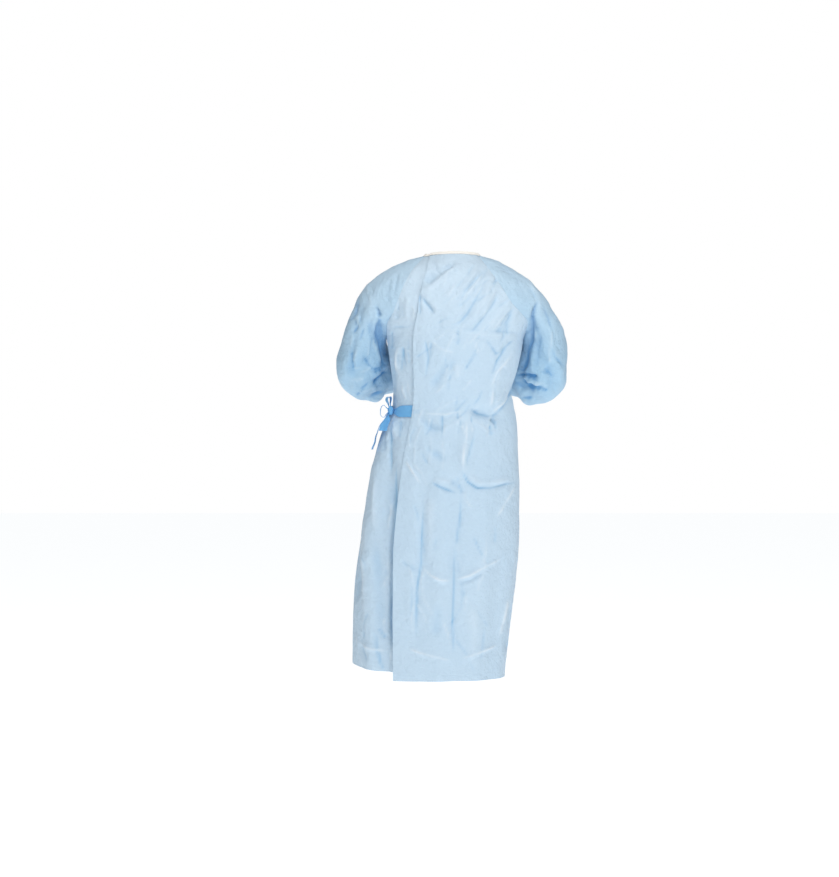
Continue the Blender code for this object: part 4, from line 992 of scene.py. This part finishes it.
sew(grids["outer"][skirt, -1], grids["front"][skirt, 0])
sew(grids["under"][skirt, 0], grids["front"][skirt, -1])
sew(grids["outer"][yoke, -1], grids["right"][armYoke, 0])
sew(grids["front"][yoke, 0], grids["right"][armYoke, -1])
sew(grids["front"][yoke, -1], grids["left"][armYoke, 0])
sew(grids["under"][yoke, 0], grids["left"][armYoke, -1])
collars = {}
eighth = round(gown["yokeRows"] / 8)
for part in ("outer", "right", "front", "left", "under"):
    grid = grids[part]
    collars[part] = (grid[-1], collar(grid[-1], grid[-1 - eighth]))
    grids[part] = np.concatenate([grid, collars[part][1]])
clothWall = gown["clothWall"]
backOuter = sewnSheet("backPanelOuter", grids["outer"], clothWall, tone=tones["outer"])
backUnder = sewnSheet("backPanelUnder", grids["under"], clothWall, tone=tones["under"])
front = sewnSheet("frontPanel", grids["front"], clothWall, tone=tones["front"])
ringCount = gown["armRows"] + 1
sleeveRight = sewnSheet("sleeveRight", grids["right"], clothWall, rings=ringCount, tone=tones["right"])
sleeveLeft = sewnSheet("sleeveLeft", grids["left"], clothWall, rings=ringCount, tone=tones["left"])
print("panels and sleeves sewn")

# the folded tape round the neck
binding = {"wall": 0.0009, "gap": 0.0005, "clothWall": 0.0016, "foot": 0.0006}


def neckBinding():
    bases, tops = [], []
    for part in ("outer", "right", "front", "left", "under"):
        base, strip = collars[part]
        start = 1 if bases else 0
        bases.append(base[start:])
        tops.append(strip[-1][start:])
    base, top = np.concatenate(bases), np.concatenate(tops)
    for _ in range(6):
        base[1:-1] = base[1:-1] * 0.5 + (base[:-2] + base[2:]) * 0.25
        top[1:-1] = top[1:-1] * 0.5 + (top[:-2] + top[2:]) * 0.25
    keep = np.concatenate([[0], np.arange(2, len(base) - 2, 2), [len(base) - 1]])
    base, top = base[keep], top[keep]
    ahead = unit(np.gradient(base, axis=0))
    up = unit(top - base)
    out = unit(np.cross(ahead, up))
    up = unit(np.cross(out, ahead))
    wall, gap = binding["wall"], binding["gap"]
    outer, inner = gap + wall, -binding["clothWall"] - gap - wall
    height = gown["collarHeight"] + gap + wall
    middle, half = (outer + inner) / 2, (outer - inner) / 2
    section = [(outer, binding["foot"]), (outer + 0.00025, 0.0028), (outer + 0.0001, 0.0052)]
    for turn in np.linspace(0.15, pi - 0.15, 7):
        section.append((middle + half * np.cos(turn), height - half + half * np.sin(turn)))
    section += [(inner, 0.0050), (inner, binding["foot"])]
    along = np.concatenate([[0], np.cumsum(np.linalg.norm(np.diff(base, axis=0), axis=1))])
    ripple = 0.00018 * np.sin(along / 0.0042) + 0.0002 * np.sin(along / 0.0117 + 1)
    rows = []
    for aside, upward in section:
        side = aside + ripple * (1 if aside > middle else -1)
        rows.append(base + out * side[:, None] + up * (upward + 0.4 * ripple)[:, None])
    return np.array(rows)


neck = neckBinding()
neckTape = sewnSheet("neckBinding", neck, binding["wall"] * 0.8)
print("neck bound")

# knitted cuffs
cuff = {"length": 0.068, "ribs": 24, "wall": 0.0008, "rib": 0.0008, "rows": 40, "perRib": 6}


def knittedCuff(name, grid):
    ring = grid[0][:-1]
    start = ring.mean(axis=0)
    towards = unit(start - grid[6][:-1].mean(axis=0))
    end = start + towards * cuff["length"] + np.array((0, 0, 0.004))
    across = unit(ring[len(ring) // 2] - start)
    deep = np.cross(across, towards)
    across = np.cross(towards, deep)
    radius = np.linalg.norm(ring - start, axis=1).mean()
    columns = cuff["ribs"] * cuff["perRib"]
    turns = 2 * pi * (np.arange(columns + 1) / columns - 0.5)
    narrow = table("share size", (0, 0.965), (0.33, 0.88), (0.66, 0.84), (1, 0.86))
    rows = []
    for share in np.linspace(1, 0, cuff["rows"] + 1):
        size = radius * float(smooth(narrow["share"], narrow["size"], share))
        rib = cuff["rib"] * (0.5 - 0.5 * np.cos(turns * cuff["ribs"])) * (0.35 + 0.65 * ease(share / 0.12))
        ripple = 0.0005 * np.sin(3 * turns + 9 * share) + 0.0004 * np.sin(5 * turns - 6 * share + 1)
        centre = start + (end - start) * share
        out = across[None] * np.cos(turns)[:, None] + deep[None] * np.sin(turns)[:, None]
        rows.append(centre + out * (size + rib + ripple)[:, None])
    return sewnSheet(name, np.array(rows), cuff["wall"], rings=len(rows))


cuffRight = knittedCuff("cuffRight", grids["right"])
cuffLeft = knittedCuff("cuffLeft", grids["left"])
print("cuffs knitted")

# the waist ties and their bow
tie = {
    "width": 0.032,
    "wall": 0.0010,
    "backLift": 0.0019,
    "frontLift": 0.0030,
    "frontRoot": 0.0012,
    "frontStart": 0.375,  # share of the way from the front's middle to its left seam
    "tuck": 0.030,
    "knot": (-0.1690, -0.045, -0.4435),
    "knotSize": (0.0075, 0.0120, 0.0130),
    "knotWidth": 0.011,
    "pinch": 0.42,  # share of its width that a flat tie keeps at the knot
    "across": 9,
}
loopLeft = (
    (-0.1815, -0.045, -0.4345, 0.022, 0), (-0.1870, -0.045, -0.4290, 0.030, 0),
    (-0.1930, -0.045, -0.4320, 0.031, 0), (-0.1965, -0.045, -0.4400, 0.031, 0),
    (-0.1965, -0.045, -0.4510, 0.031, 0), (-0.1930, -0.045, -0.4600, 0.031, 0),
    (-0.1870, -0.045, -0.4620, 0.030, 0), (-0.1815, -0.045, -0.4545, 0.022, 0),
)
loopTop = (
    (-0.1765, -0.038, -0.4230, 0.024, -12), (-0.1790, -0.036, -0.4140, 0.030, -14),
    (-0.1760, -0.034, -0.4070, 0.030, -14), (-0.1710, -0.034, -0.4060, 0.030, -14),
    (-0.1690, -0.036, -0.4120, 0.028, -12), (-0.1690, -0.038, -0.4210, 0.022, -10),
)
endWide = (
    (-0.1770, -0.059, -0.4650, 0.025, 32), (-0.1825, -0.065, -0.4770, 0.031, 38),
    (-0.1870, -0.069, -0.4880, 0.032, 40), (-0.1905, -0.071, -0.4990, 0.032, 40),
)
endNarrow = (
    (-0.1850, -0.031, -0.4660, 0.026, 0), (-0.1960, -0.028, -0.4800, 0.031, 0),
    (-0.2030, -0.027, -0.4940, 0.031, 0), (-0.2080, -0.027, -0.5100, 0.031, 3),
    (-0.2130, -0.027, -0.5300, 0.031, 5), (-0.2195, -0.027, -0.5500, 0.031, 6),
)
knotAt, knotSize = np.array(tie["knot"]), np.array(tie["knotSize"])


def knotFace(towards, widthAxis):
    away = towards - knotAt
    away[widthAxis] = 0.0
    reach = 1 / np.linalg.norm(away / knotSize)
    return knotAt + away * reach * 0.9


def finer(values, count):
    values = np.array(values, float)
    at = np.concatenate([[0], np.cumsum(np.linalg.norm(np.diff(values[:, :3], axis=0), axis=1))])
    want = np.linspace(0, at[-1], count)
    return np.stack([smooth(at, values[:, k], want) for k in range(values.shape[1])], 1)


def pleated(shares, gather, height):
    # a tie's pleats towards the knot, and the hem along each edge
    pleat = height * gather * np.cos(shares * 3 * pi)[:, None]
    return pleat + 0.0003 * np.exp(-(((1 - np.abs(shares)) / 0.18) ** 2))[:, None]


def ribbon(name, line, loop=False):
    line = [list(point) for point in line]
    line.insert(0, [*knotFace(np.array(line[0][:3]), 1), tie["knotWidth"], 0])
    if loop:
        line.append([*knotFace(np.array(line[-1][:3]), 1), tie["knotWidth"], 0])
    line = finer(line, 44 if loop else 40)
    shares = np.linspace(-1, 1, tie["across"])
    swings = np.radians(line[:, 4])
    width = np.stack([np.sin(swings), np.cos(swings), 0 * swings], 1)
    rows = np.array([line[:, :3] + width * (line[:, 3] / 2 * share)[:, None] for share in shares])
    normals = gridNormals(rows)
    gather = ease(1 - (line[:, 3] - tie["knotWidth"]) / (tie["width"] - tie["knotWidth"]))
    curl = 0.0006 * np.sin(line[:, 2] * 210)[None] * np.abs(shares)[:, None] ** 2
    rows = rows + normals * (pleated(shares, gather, 0.0011) + curl + tie["wall"] / 2)[..., None]
    return sewnSheet(name, rows, tie["wall"])


def bandOn(name, grid, columns, lifts):
    # a flat tie that lies off a panel along its columns and goes on to the knot
    shares = np.linspace(-1, 1, tie["across"])
    heights = grid[:-3, :, 2]
    rows = []
    for column in columns:
        drops = heights[:, column]
        centre = np.array([np.interp(-gown["waistDrop"], drops, grid[:-3, column, k]) for k in range(3)])
        distance = np.linalg.norm(centre - knotAt) - knotSize[2]
        half = tie["width"] / 2 * (tie["pinch"] + (1 - tie["pinch"]) * ease(distance / 0.020))
        at = -gown["waistDrop"] + shares * half
        rows.append(np.stack([np.interp(at, drops, grid[:-3, column, k]) for k in range(3)], 1))
    rows = np.array(rows).transpose(1, 0, 2)
    for _ in range(10):
        rows[:, 1:-1] = rows[:, 1:-1] * 0.5 + (rows[:, :-2] + rows[:, 2:]) * 0.25
    normals = gridNormals(rows)
    rows = rows + normals * np.array(lifts)[None, :, None]
    startsAtKnot = np.linalg.norm(rows[4, 0] - knotAt) < 0.06
    last = rows[:, 0 if startsAtKnot else -1]
    meeting = knotFace(last[tie["across"] // 2].copy(), 2)
    half = tie["width"] / 2 * tie["pinch"]
    target = meeting + np.array((0, 0, 1.0)) * (shares * half)[:, None]
    steps = [last + (target - last) * s for s in (0.25, 0.5, 0.75, 1.0)]
    extra = np.array(steps).transpose(1, 0, 2)
    rows = np.concatenate([extra[:, ::-1], rows] if startsAtKnot else [rows, extra], 1)
    normals = gridNormals(rows)
    distance = np.linalg.norm(rows[tie["across"] // 2] - knotAt, axis=1)
    gather = ease(1.25 - distance / 0.030)
    rows = rows + normals * (pleated(shares, gather, 0.0010) + tie["wall"] / 2)[..., None]
    return sewnSheet(name, rows, tie["wall"])


waistRow = int(np.argmin(np.abs(grids["outer"][:, 0, 2] + gown["waistDrop"])))
edgeX = grids["outer"][waistRow, 0, 0]
underX = grids["under"][waistRow, :, 0]
backColumns = [j for j in range(len(underX)) if knotAt[0] + 0.008 < underX[j] < edgeX + tie["tuck"]]
tieBack = bandOn("tieBack", grids["under"], backColumns, [tie["backLift"]] * len(backColumns))
frontColumns = np.flatnonzero(frontShares[waistRow] >= tie["frontStart"])
lifts = tie["frontRoot"] + (tie["frontLift"] - tie["frontRoot"]) * ease(np.arange(len(frontColumns)) / 8)
tieFront = bandOn("tieFront", grids["front"], frontColumns, lifts)
bowLoopLeft = ribbon("bowLoopLeft", loopLeft, loop=True)
bowLoopTop = ribbon("bowLoopTop", loopTop, loop=True)
bowEndWide = ribbon("bowEndWide", endWide)
bowEndNarrow = ribbon("bowEndNarrow", endNarrow)


def tiedKnot():
    # a ball, drawn into the wraps of the tie that cross it
    bpy.ops.mesh.primitive_uv_sphere_add(segments=48, ring_count=32, radius=1)
    made = bpy.context.object
    made.name = made.data.name = "bowKnot"
    for vertex in made.data.vertices:
        x, y, z = vertex.co
        turn = atan2(z, x)
        wrap = 0.10 * np.cos(3.2 * (y + 0.5 * x) * pi) + 0.05 * np.sin(5 * turn + 4 * y)
        vertex.co *= 0.93 + wrap * (1 - 0.6 * y * y)
    made.data.transform(Matrix.LocRotScale(Vector(tie["knot"]), None, Vector(tie["knotSize"])))
    made.data.shade_smooth()
    return made


bowKnot = tiedKnot()
bpy.ops.object.select_all(action="DESELECT")
print("ties and bow made")


class Wire:
    # a socket that can be added, multiplied and so on
    def __init__(self, shop, socket):
        self.shop, self.socket = shop, socket

    def __add__(self, other):
        return self.shop.maths("ADD", self, other)

    __radd__ = __add__

    def __mul__(self, other):
        return self.shop.maths("MULTIPLY", self, other)

    def __sub__(self, other):
        return self.shop.maths("SUBTRACT", self, other)

    def __pow__(self, other):
        return self.shop.maths("POWER", self, other)

    def __gt__(self, other):
        return self.shop.maths("GREATER_THAN", self, other)

    def __lt__(self, other):
        return self.shop.maths("LESS_THAN", self, other)


class Shop:
    # one material and its nodes
    def __init__(self, name):
        self.material = bpy.data.materials.new(name)
        self.material.use_nodes = True
        self.tree = self.material.node_tree
        self.shader = self.tree.nodes["Principled BSDF"]

    def node(self, kind, settings=(), **sockets):
        made = self.tree.nodes.new(kind)
        for key, value in dict(settings).items():
            setattr(made, key, value)
        for key, value in sockets.items():
            self.feed(made.inputs[int(key[1:]) if key[1:].isdigit() else key.replace("_", " ")], value)
        return made

    def feed(self, socket, value):
        if isinstance(value, Wire):
            self.tree.links.new(value.socket, socket)
        elif isinstance(value, tuple) and len(value) == 3 and socket.type == "RGBA":
            socket.default_value = (*value, 1)
        else:
            socket.default_value = value

    def maths(self, operation, one, two=0.0):
        return Wire(self, self.node("ShaderNodeMath", {"operation": operation}, i0=one, i1=two).outputs[0])

    def clamp(self, value):
        return self.maths("MINIMUM", self.maths("MAXIMUM", value, 0.0), 1.0)

    def flatPlace(self):
        # where a point lies on the flat cloth, in metres
        flat = Wire(self, self.node("ShaderNodeUVMap", {"uv_map": "cloth"}).outputs[0])
        return flat, *self.split(flat)[:2]

    def split(self, vector):
        parts = self.node("ShaderNodeSeparateXYZ", {}, Vector=vector)
        return [Wire(self, parts.outputs[k]) for k in range(3)]

    def mix(self, share, one, two):
        made = self.node("ShaderNodeMix", {"data_type": "RGBA"}, i0=share, i6=one, i7=two)
        return Wire(self, made.outputs[2])

    def noise(self, where, scale, detail=2.0, rough=0.5):
        made = self.node("ShaderNodeTexNoise", {}, Vector=where, Scale=scale, Detail=detail, Roughness=rough)
        return Wire(self, made.outputs[0])

    def bump(self, height, strength, distance, under=None):
        made = self.node("ShaderNodeBump", {}, Height=height, Strength=strength, Distance=distance)
        if under is not None:
            self.tree.links.new(under.socket, made.inputs["Normal"])
        return Wire(self, made.outputs[0])


# The grain of the cloth: the scale, detail and roughness of each noise.
clothGrain = {
    "fibres": (1500.0, 3.0, 0.65), "cloudy": (95.0, 3.0, 0.6), "patches": (9.0, 2.0, 0.5),
    "crinkle": (210.0, 2.0, 0.55), "stretch": (1.0, 0.22, 1.0),
    "wrinkles": ((24.0, 0.55), (55.0, 0.30), (120.0, 0.15)),  # scale and share
}
# Painted top light: above this drop the cloth is painted paler towards the shoulders, as light falls from above.
paintedTopLight = {"drop": 0.32, "rise": 4.0, "share": 0.7}


def nonwoven(name, finish):
    shop = Shop(name)
    flat, u, v = shop.flatPlace()
    place = Wire(shop, shop.node("ShaderNodeTexCoord").outputs["Object"])
    pitch = finish["bond"]
    dots = shop.maths("SINE", u * (2 * pi / pitch)) * shop.maths("SINE", v * (2 * pi / pitch))
    bond = shop.maths("MAXIMUM", dots, 0.0) ** 1.5
    mapping = shop.node("ShaderNodeMapping", {}, Vector=flat, Scale=clothGrain["stretch"])
    stretched = Wire(shop, mapping.outputs[0])
    fibres = shop.noise(stretched, *clothGrain["fibres"])
    cloudy = shop.noise(flat, *clothGrain["cloudy"])
    patches = shop.noise(place, *clothGrain["patches"])
    crinkle = shop.noise(stretched, *clothGrain["crinkle"])
    wrinkled = 0.0
    for scale, share in clothGrain["wrinkles"]:
        wrinkled = shop.maths("ABSOLUTE", shop.noise(place, scale, 1.0, 0.5) - 0.5) * (share * 2) + wrinkled
    colour = finish["colour"]
    pale = tuple(min(1.0, c * part) for c, part in zip(colour, finish["pale"]))
    deep = tuple(c * part for c, part in zip(colour, finish["deep"]))
    share = cloudy * 0.45 + fibres * 0.35 + patches * 0.45 - 0.12
    tone = shop.mix(shop.clamp(share), deep, pale)
    tone = shop.mix(bond * finish["bondShade"], tone, deep)
    # Painted light along the creases: a paler painted highlight on raised ones and a deeper painted shade in
    # sunken ones.
    worn = Wire(shop, shop.node("ShaderNodeAttribute", {"attribute_name": "crease"}).outputs["Fac"])
    worn = worn * (0.6 + fibres * 0.8)
    paintedHighlightColour = tuple(c + (1 - c) * finish["ridge"] for c in colour)
    paintedShadeColour = tuple(c * part for c, part in zip(colour, finish["fold"]))
    tone = shop.mix(shop.clamp(worn) * finish["worn"], tone, paintedHighlightColour)
    tone = shop.mix(shop.clamp(worn * -1.0) * finish["worn"], tone, paintedShadeColour)
    x, y, z = shop.split(place)
    # painted top light: the upper parts are mixed towards the paler shoulder colour
    if finish.get("shoulder"):
        height = shop.clamp((z + paintedTopLight["drop"]) * paintedTopLight["rise"])
        tone = shop.mix(height * paintedTopLight["share"], tone, finish["shoulder"])
    if finish.get("show"):
        low, high = finish["show"]["low"], finish["show"]["high"]
        patch = (x > low[0]) * (x < high[0]) * (y < 0.0) * (z > low[1]) * (z < high[1])
        tone = shop.mix(patch * finish["show"]["share"], tone, finish["show"]["colour"])
    shop.feed(shop.shader.inputs["Base Color"], tone)
    shop.feed(shop.shader.inputs["Roughness"], finish["rough"] + (fibres - 0.5) * 0.16 - bond * 0.10)
    normal = shop.bump(wrinkled, finish["wrinkled"], 0.012)
    normal = shop.bump(crinkle, 0.35, 0.0008, under=normal)
    normal = shop.bump(fibres * 0.6 - bond, finish["bumpy"], 0.00012, under=normal)
    shop.feed(shop.shader.inputs["Normal"], normal)
    shop.shader.inputs["Sheen Weight"].default_value = finish["sheen"]
    shop.shader.inputs["Sheen Roughness"].default_value = 0.45
    shop.shader.inputs["Specular IOR Level"].default_value = finish["gloss"]
    return shop.material


def tapeFinish(name, finish):
    shop = Shop(name)
    flat, u, v = shop.flatPlace()
    weave = shop.maths("SINE", u * (2 * pi / 0.0007)) * shop.maths("SINE", v * (2 * pi / 0.0006))
    cloudy = shop.noise(flat, 160.0, 3.0, 0.6)
    dash = (shop.maths("SINE", u * (2 * pi / 0.0032)) > -0.25) * (shop.maths("ABSOLUTE", v - 0.0021) < 0.00032)
    tone = shop.mix(cloudy, finish["deep"], finish["colour"])
    tone = shop.mix(dash * 0.55, tone, finish["thread"])
    shop.feed(shop.shader.inputs["Base Color"], tone)
    shop.feed(shop.shader.inputs["Roughness"], 0.74 + cloudy * 0.12)
    normal = shop.bump(weave * 0.5 + dash * 1.5 + cloudy * 0.6, 0.5, 0.0002)
    shop.feed(shop.shader.inputs["Normal"], normal)
    shop.shader.inputs["Sheen Weight"].default_value = 0.15
    return shop.material


def knitFinish(name, finish):
    shop = Shop(name)
    flat, u, v = shop.flatPlace()
    slant = shop.maths("ABSOLUTE", shop.maths("SINE", u * (pi / 0.0016)))
    stitch = shop.maths("SINE", (v + slant * 0.0006) * (2 * pi / 0.0013))
    cloudy = shop.noise(flat, 240.0, 3.0, 0.6)
    tone = shop.mix(stitch * 0.25 + slant * 0.35 + cloudy * 0.4, finish["deep"], finish["colour"])
    shop.feed(shop.shader.inputs["Base Color"], tone)
    shop.feed(shop.shader.inputs["Roughness"], 0.82 + cloudy * 0.12)
    normal = shop.bump(stitch * 0.5 + slant * 0.8 + cloudy * 0.2, 0.6, 0.0003)
    shop.feed(shop.shader.inputs["Normal"], normal)
    shop.shader.inputs["Sheen Weight"].default_value = 0.3
    return shop.material


# Each cloth also sets how strongly its creases are painted, with a painted highlight on raised ones and painted
# shade in sunken ones, and a shoulder colour that is painted top light.
bodyCloth = nonwoven("bodyCloth", {
    "colour": (0.545, 0.69, 0.82), "pale": (1.06, 1.04, 1.02), "deep": (0.90, 0.94, 0.97),
    "bond": 0.0017, "bondShade": 0.22, "bumpy": 0.55, "rough": 0.60, "sheen": 0.05, "gloss": 0.35,
    "wrinkled": 0.5, "worn": 0.75, "ridge": 0.38, "fold": (0.42, 0.67, 0.85),
    "shoulder": (0.61, 0.735, 0.84),
    "show": {"low": (-0.1075, -0.4525), "high": (-0.0890, -0.4415), "share": 0.20, "colour": (0.30, 0.52, 0.76)},
})
sleeveCloth = nonwoven("sleeveCloth", {
    "colour": (0.37, 0.575, 0.745), "pale": (1.06, 1.04, 1.02), "deep": (0.90, 0.93, 0.97),
    "bond": 0.0017, "bondShade": 0.18, "bumpy": 0.45, "rough": 0.54, "sheen": 0.04, "gloss": 0.45,
    "wrinkled": 0.6, "worn": 0.95, "ridge": 0.20, "fold": (0.26, 0.52, 0.77),
    "shoulder": (0.57, 0.72, 0.84),
})
tieCloth = nonwoven("tieCloth", {
    "colour": (0.17, 0.47, 0.80), "pale": (1.12, 1.07, 1.04), "deep": (0.84, 0.88, 0.94),
    "bond": 0.0015, "bondShade": 0.25, "bumpy": 0.55, "rough": 0.60, "sheen": 0.15, "gloss": 0.35,
    "wrinkled": 0.2, "worn": 0.0, "ridge": 0.0, "fold": (1.0, 1.0, 1.0),
})
creamTape = tapeFinish("creamTape", {
    "colour": (0.96, 0.92, 0.86), "deep": (0.93, 0.87, 0.78), "thread": (0.98, 0.96, 0.92),
})
whiteKnit = knitFinish("whiteKnit", {"colour": (0.90, 0.90, 0.89), "deep": (0.74, 0.75, 0.76)})
print("finishes made")

dressing = (
    (backOuter, "back_panel_outer", "gown_cloth", bodyCloth, "draped", ("backPanelUnder",)),
    (backUnder, "back_panel_under", "gown_cloth", bodyCloth, "draped", ("neckBinding",)),
    (front, "front_panel", "gown_cloth", bodyCloth, "draped", ("neckBinding",)),
    (sleeveRight, "sleeve_right", "sleeve_cloth", sleeveCloth, "draped", ("neckBinding",)),
    (sleeveLeft, "sleeve_left", "sleeve_cloth", sleeveCloth, "draped", ("neckBinding",)),
    (neckTape, "neck_binding", "binding_tape", creamTape, "folded", ("frontPanel",)),
    (cuffRight, "cuff_right", "cuff_knit", whiteKnit, "stretched", ("sleeveRight",)),
    (cuffLeft, "cuff_left", "cuff_knit", whiteKnit, "stretched", ("sleeveLeft",)),
    (tieBack, "tie_back", "tie_cloth", tieCloth, "stretched", ("backPanelUnder",)),
    (tieFront, "tie_front", "tie_cloth", tieCloth, "stretched", ("frontPanel",)),
    (bowLoopLeft, "bow_loop_left", "tie_cloth", tieCloth, "folded", ("bowKnot",)),
    (bowLoopTop, "bow_loop_top", "tie_cloth", tieCloth, "folded", ("bowKnot",)),
    (bowEndWide, "bow_end_wide", "tie_cloth", tieCloth, "hung", ("bowKnot",)),
    (bowEndNarrow, "bow_end_narrow", "tie_cloth", tieCloth, "hung", ("bowKnot",)),
)
for piece, node, slotName, finish, held, rests in dressing:
    piece.data.materials.append(finish)
    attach(piece, "root")
    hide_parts(node)
bowKnot.data.materials.append(tieCloth)
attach(bowKnot, "root")
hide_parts("bow_knot")

# the studio
studio = {
    "floor": -1.55, "floorGlow": 0.80, "sky": 0.20, "behind": 1.0, "lens": 74.34,
    "key": 54.0, "fill": 7.0, "top": 66.0,
}
bpy.ops.mesh.primitive_plane_add(size=40, location=(0, 0, studio["floor"]))
floor = bpy.context.object
floor.name = "floor"
paper = Shop("paper")
grainOfPaper = paper.noise(Wire(paper, paper.node("ShaderNodeTexCoord").outputs["Object"]), 3.0)
paper.feed(paper.shader.inputs["Base Color"], paper.mix(grainOfPaper, (0.93, 0.93, 0.93), (0.97, 0.97, 0.97)))
paper.shader.inputs["Roughness"].default_value = 0.6
paper.shader.inputs["Emission Color"].default_value = (1, 1, 1, 1)
paper.shader.inputs["Emission Strength"].default_value = studio["floorGlow"]
floor.data.materials.append(paper.material)

world = bpy.data.worlds.new("studioWorld")
bpy.context.scene.world = world
world.use_nodes = True
tree = world.node_tree
tree.nodes.clear()
onCloth = tree.nodes.new("ShaderNodeBackground")
onCloth.inputs["Strength"].default_value = studio["sky"]
onCloth.inputs["Color"].default_value = (0.86, 0.94, 1.0, 1)
seen = tree.nodes.new("ShaderNodeBackground")
seen.inputs["Color"].default_value = (1, 1, 1, 1)
seen.inputs["Strength"].default_value = studio["behind"]
ray = tree.nodes.new("ShaderNodeLightPath")
either = tree.nodes.new("ShaderNodeMixShader")
output = tree.nodes.new("ShaderNodeOutputWorld")
tree.links.new(ray.outputs["Is Camera Ray"], either.inputs[0])
tree.links.new(onCloth.outputs[0], either.inputs[1])
tree.links.new(seen.outputs[0], either.inputs[2])
tree.links.new(either.outputs[0], output.inputs[0])


def softbox(name, place, aim, size):
    light = bpy.data.lights.new(name, "AREA")
    light.shape, light.size, light.energy = "SQUARE", size, studio[name]
    lamp = bpy.data.objects.new(name, light)
    lamp.location = place
    lamp.rotation_euler = (Vector(aim) - Vector(place)).to_track_quat("-Z", "Y").to_euler()
    bpy.context.collection.objects.link(lamp)


softbox("key", (1.5, -4.2, 1.7), (0, 0, -0.5), 0.9)
softbox("fill", (-2.6, -3.6, 0.2), (0, 0, -0.6), 2.0)
softbox("top", (0.2, -1.5, 3.0), (0, 0, -0.4), 2.0)

eye = bpy.data.cameras.new("camera")
eye.lens, eye.sensor_width, eye.clip_end = studio["lens"], 36, 100
camera = bpy.data.objects.new("camera", eye)
camera.location = eyeAt
camera.rotation_euler = (pi / 2, 0, 0)
bpy.context.collection.objects.link(camera)
bpy.context.scene.camera = camera
bpy.context.scene.view_settings.view_transform = "Standard"
print("studio set")

bpy.context.view_layer.update()
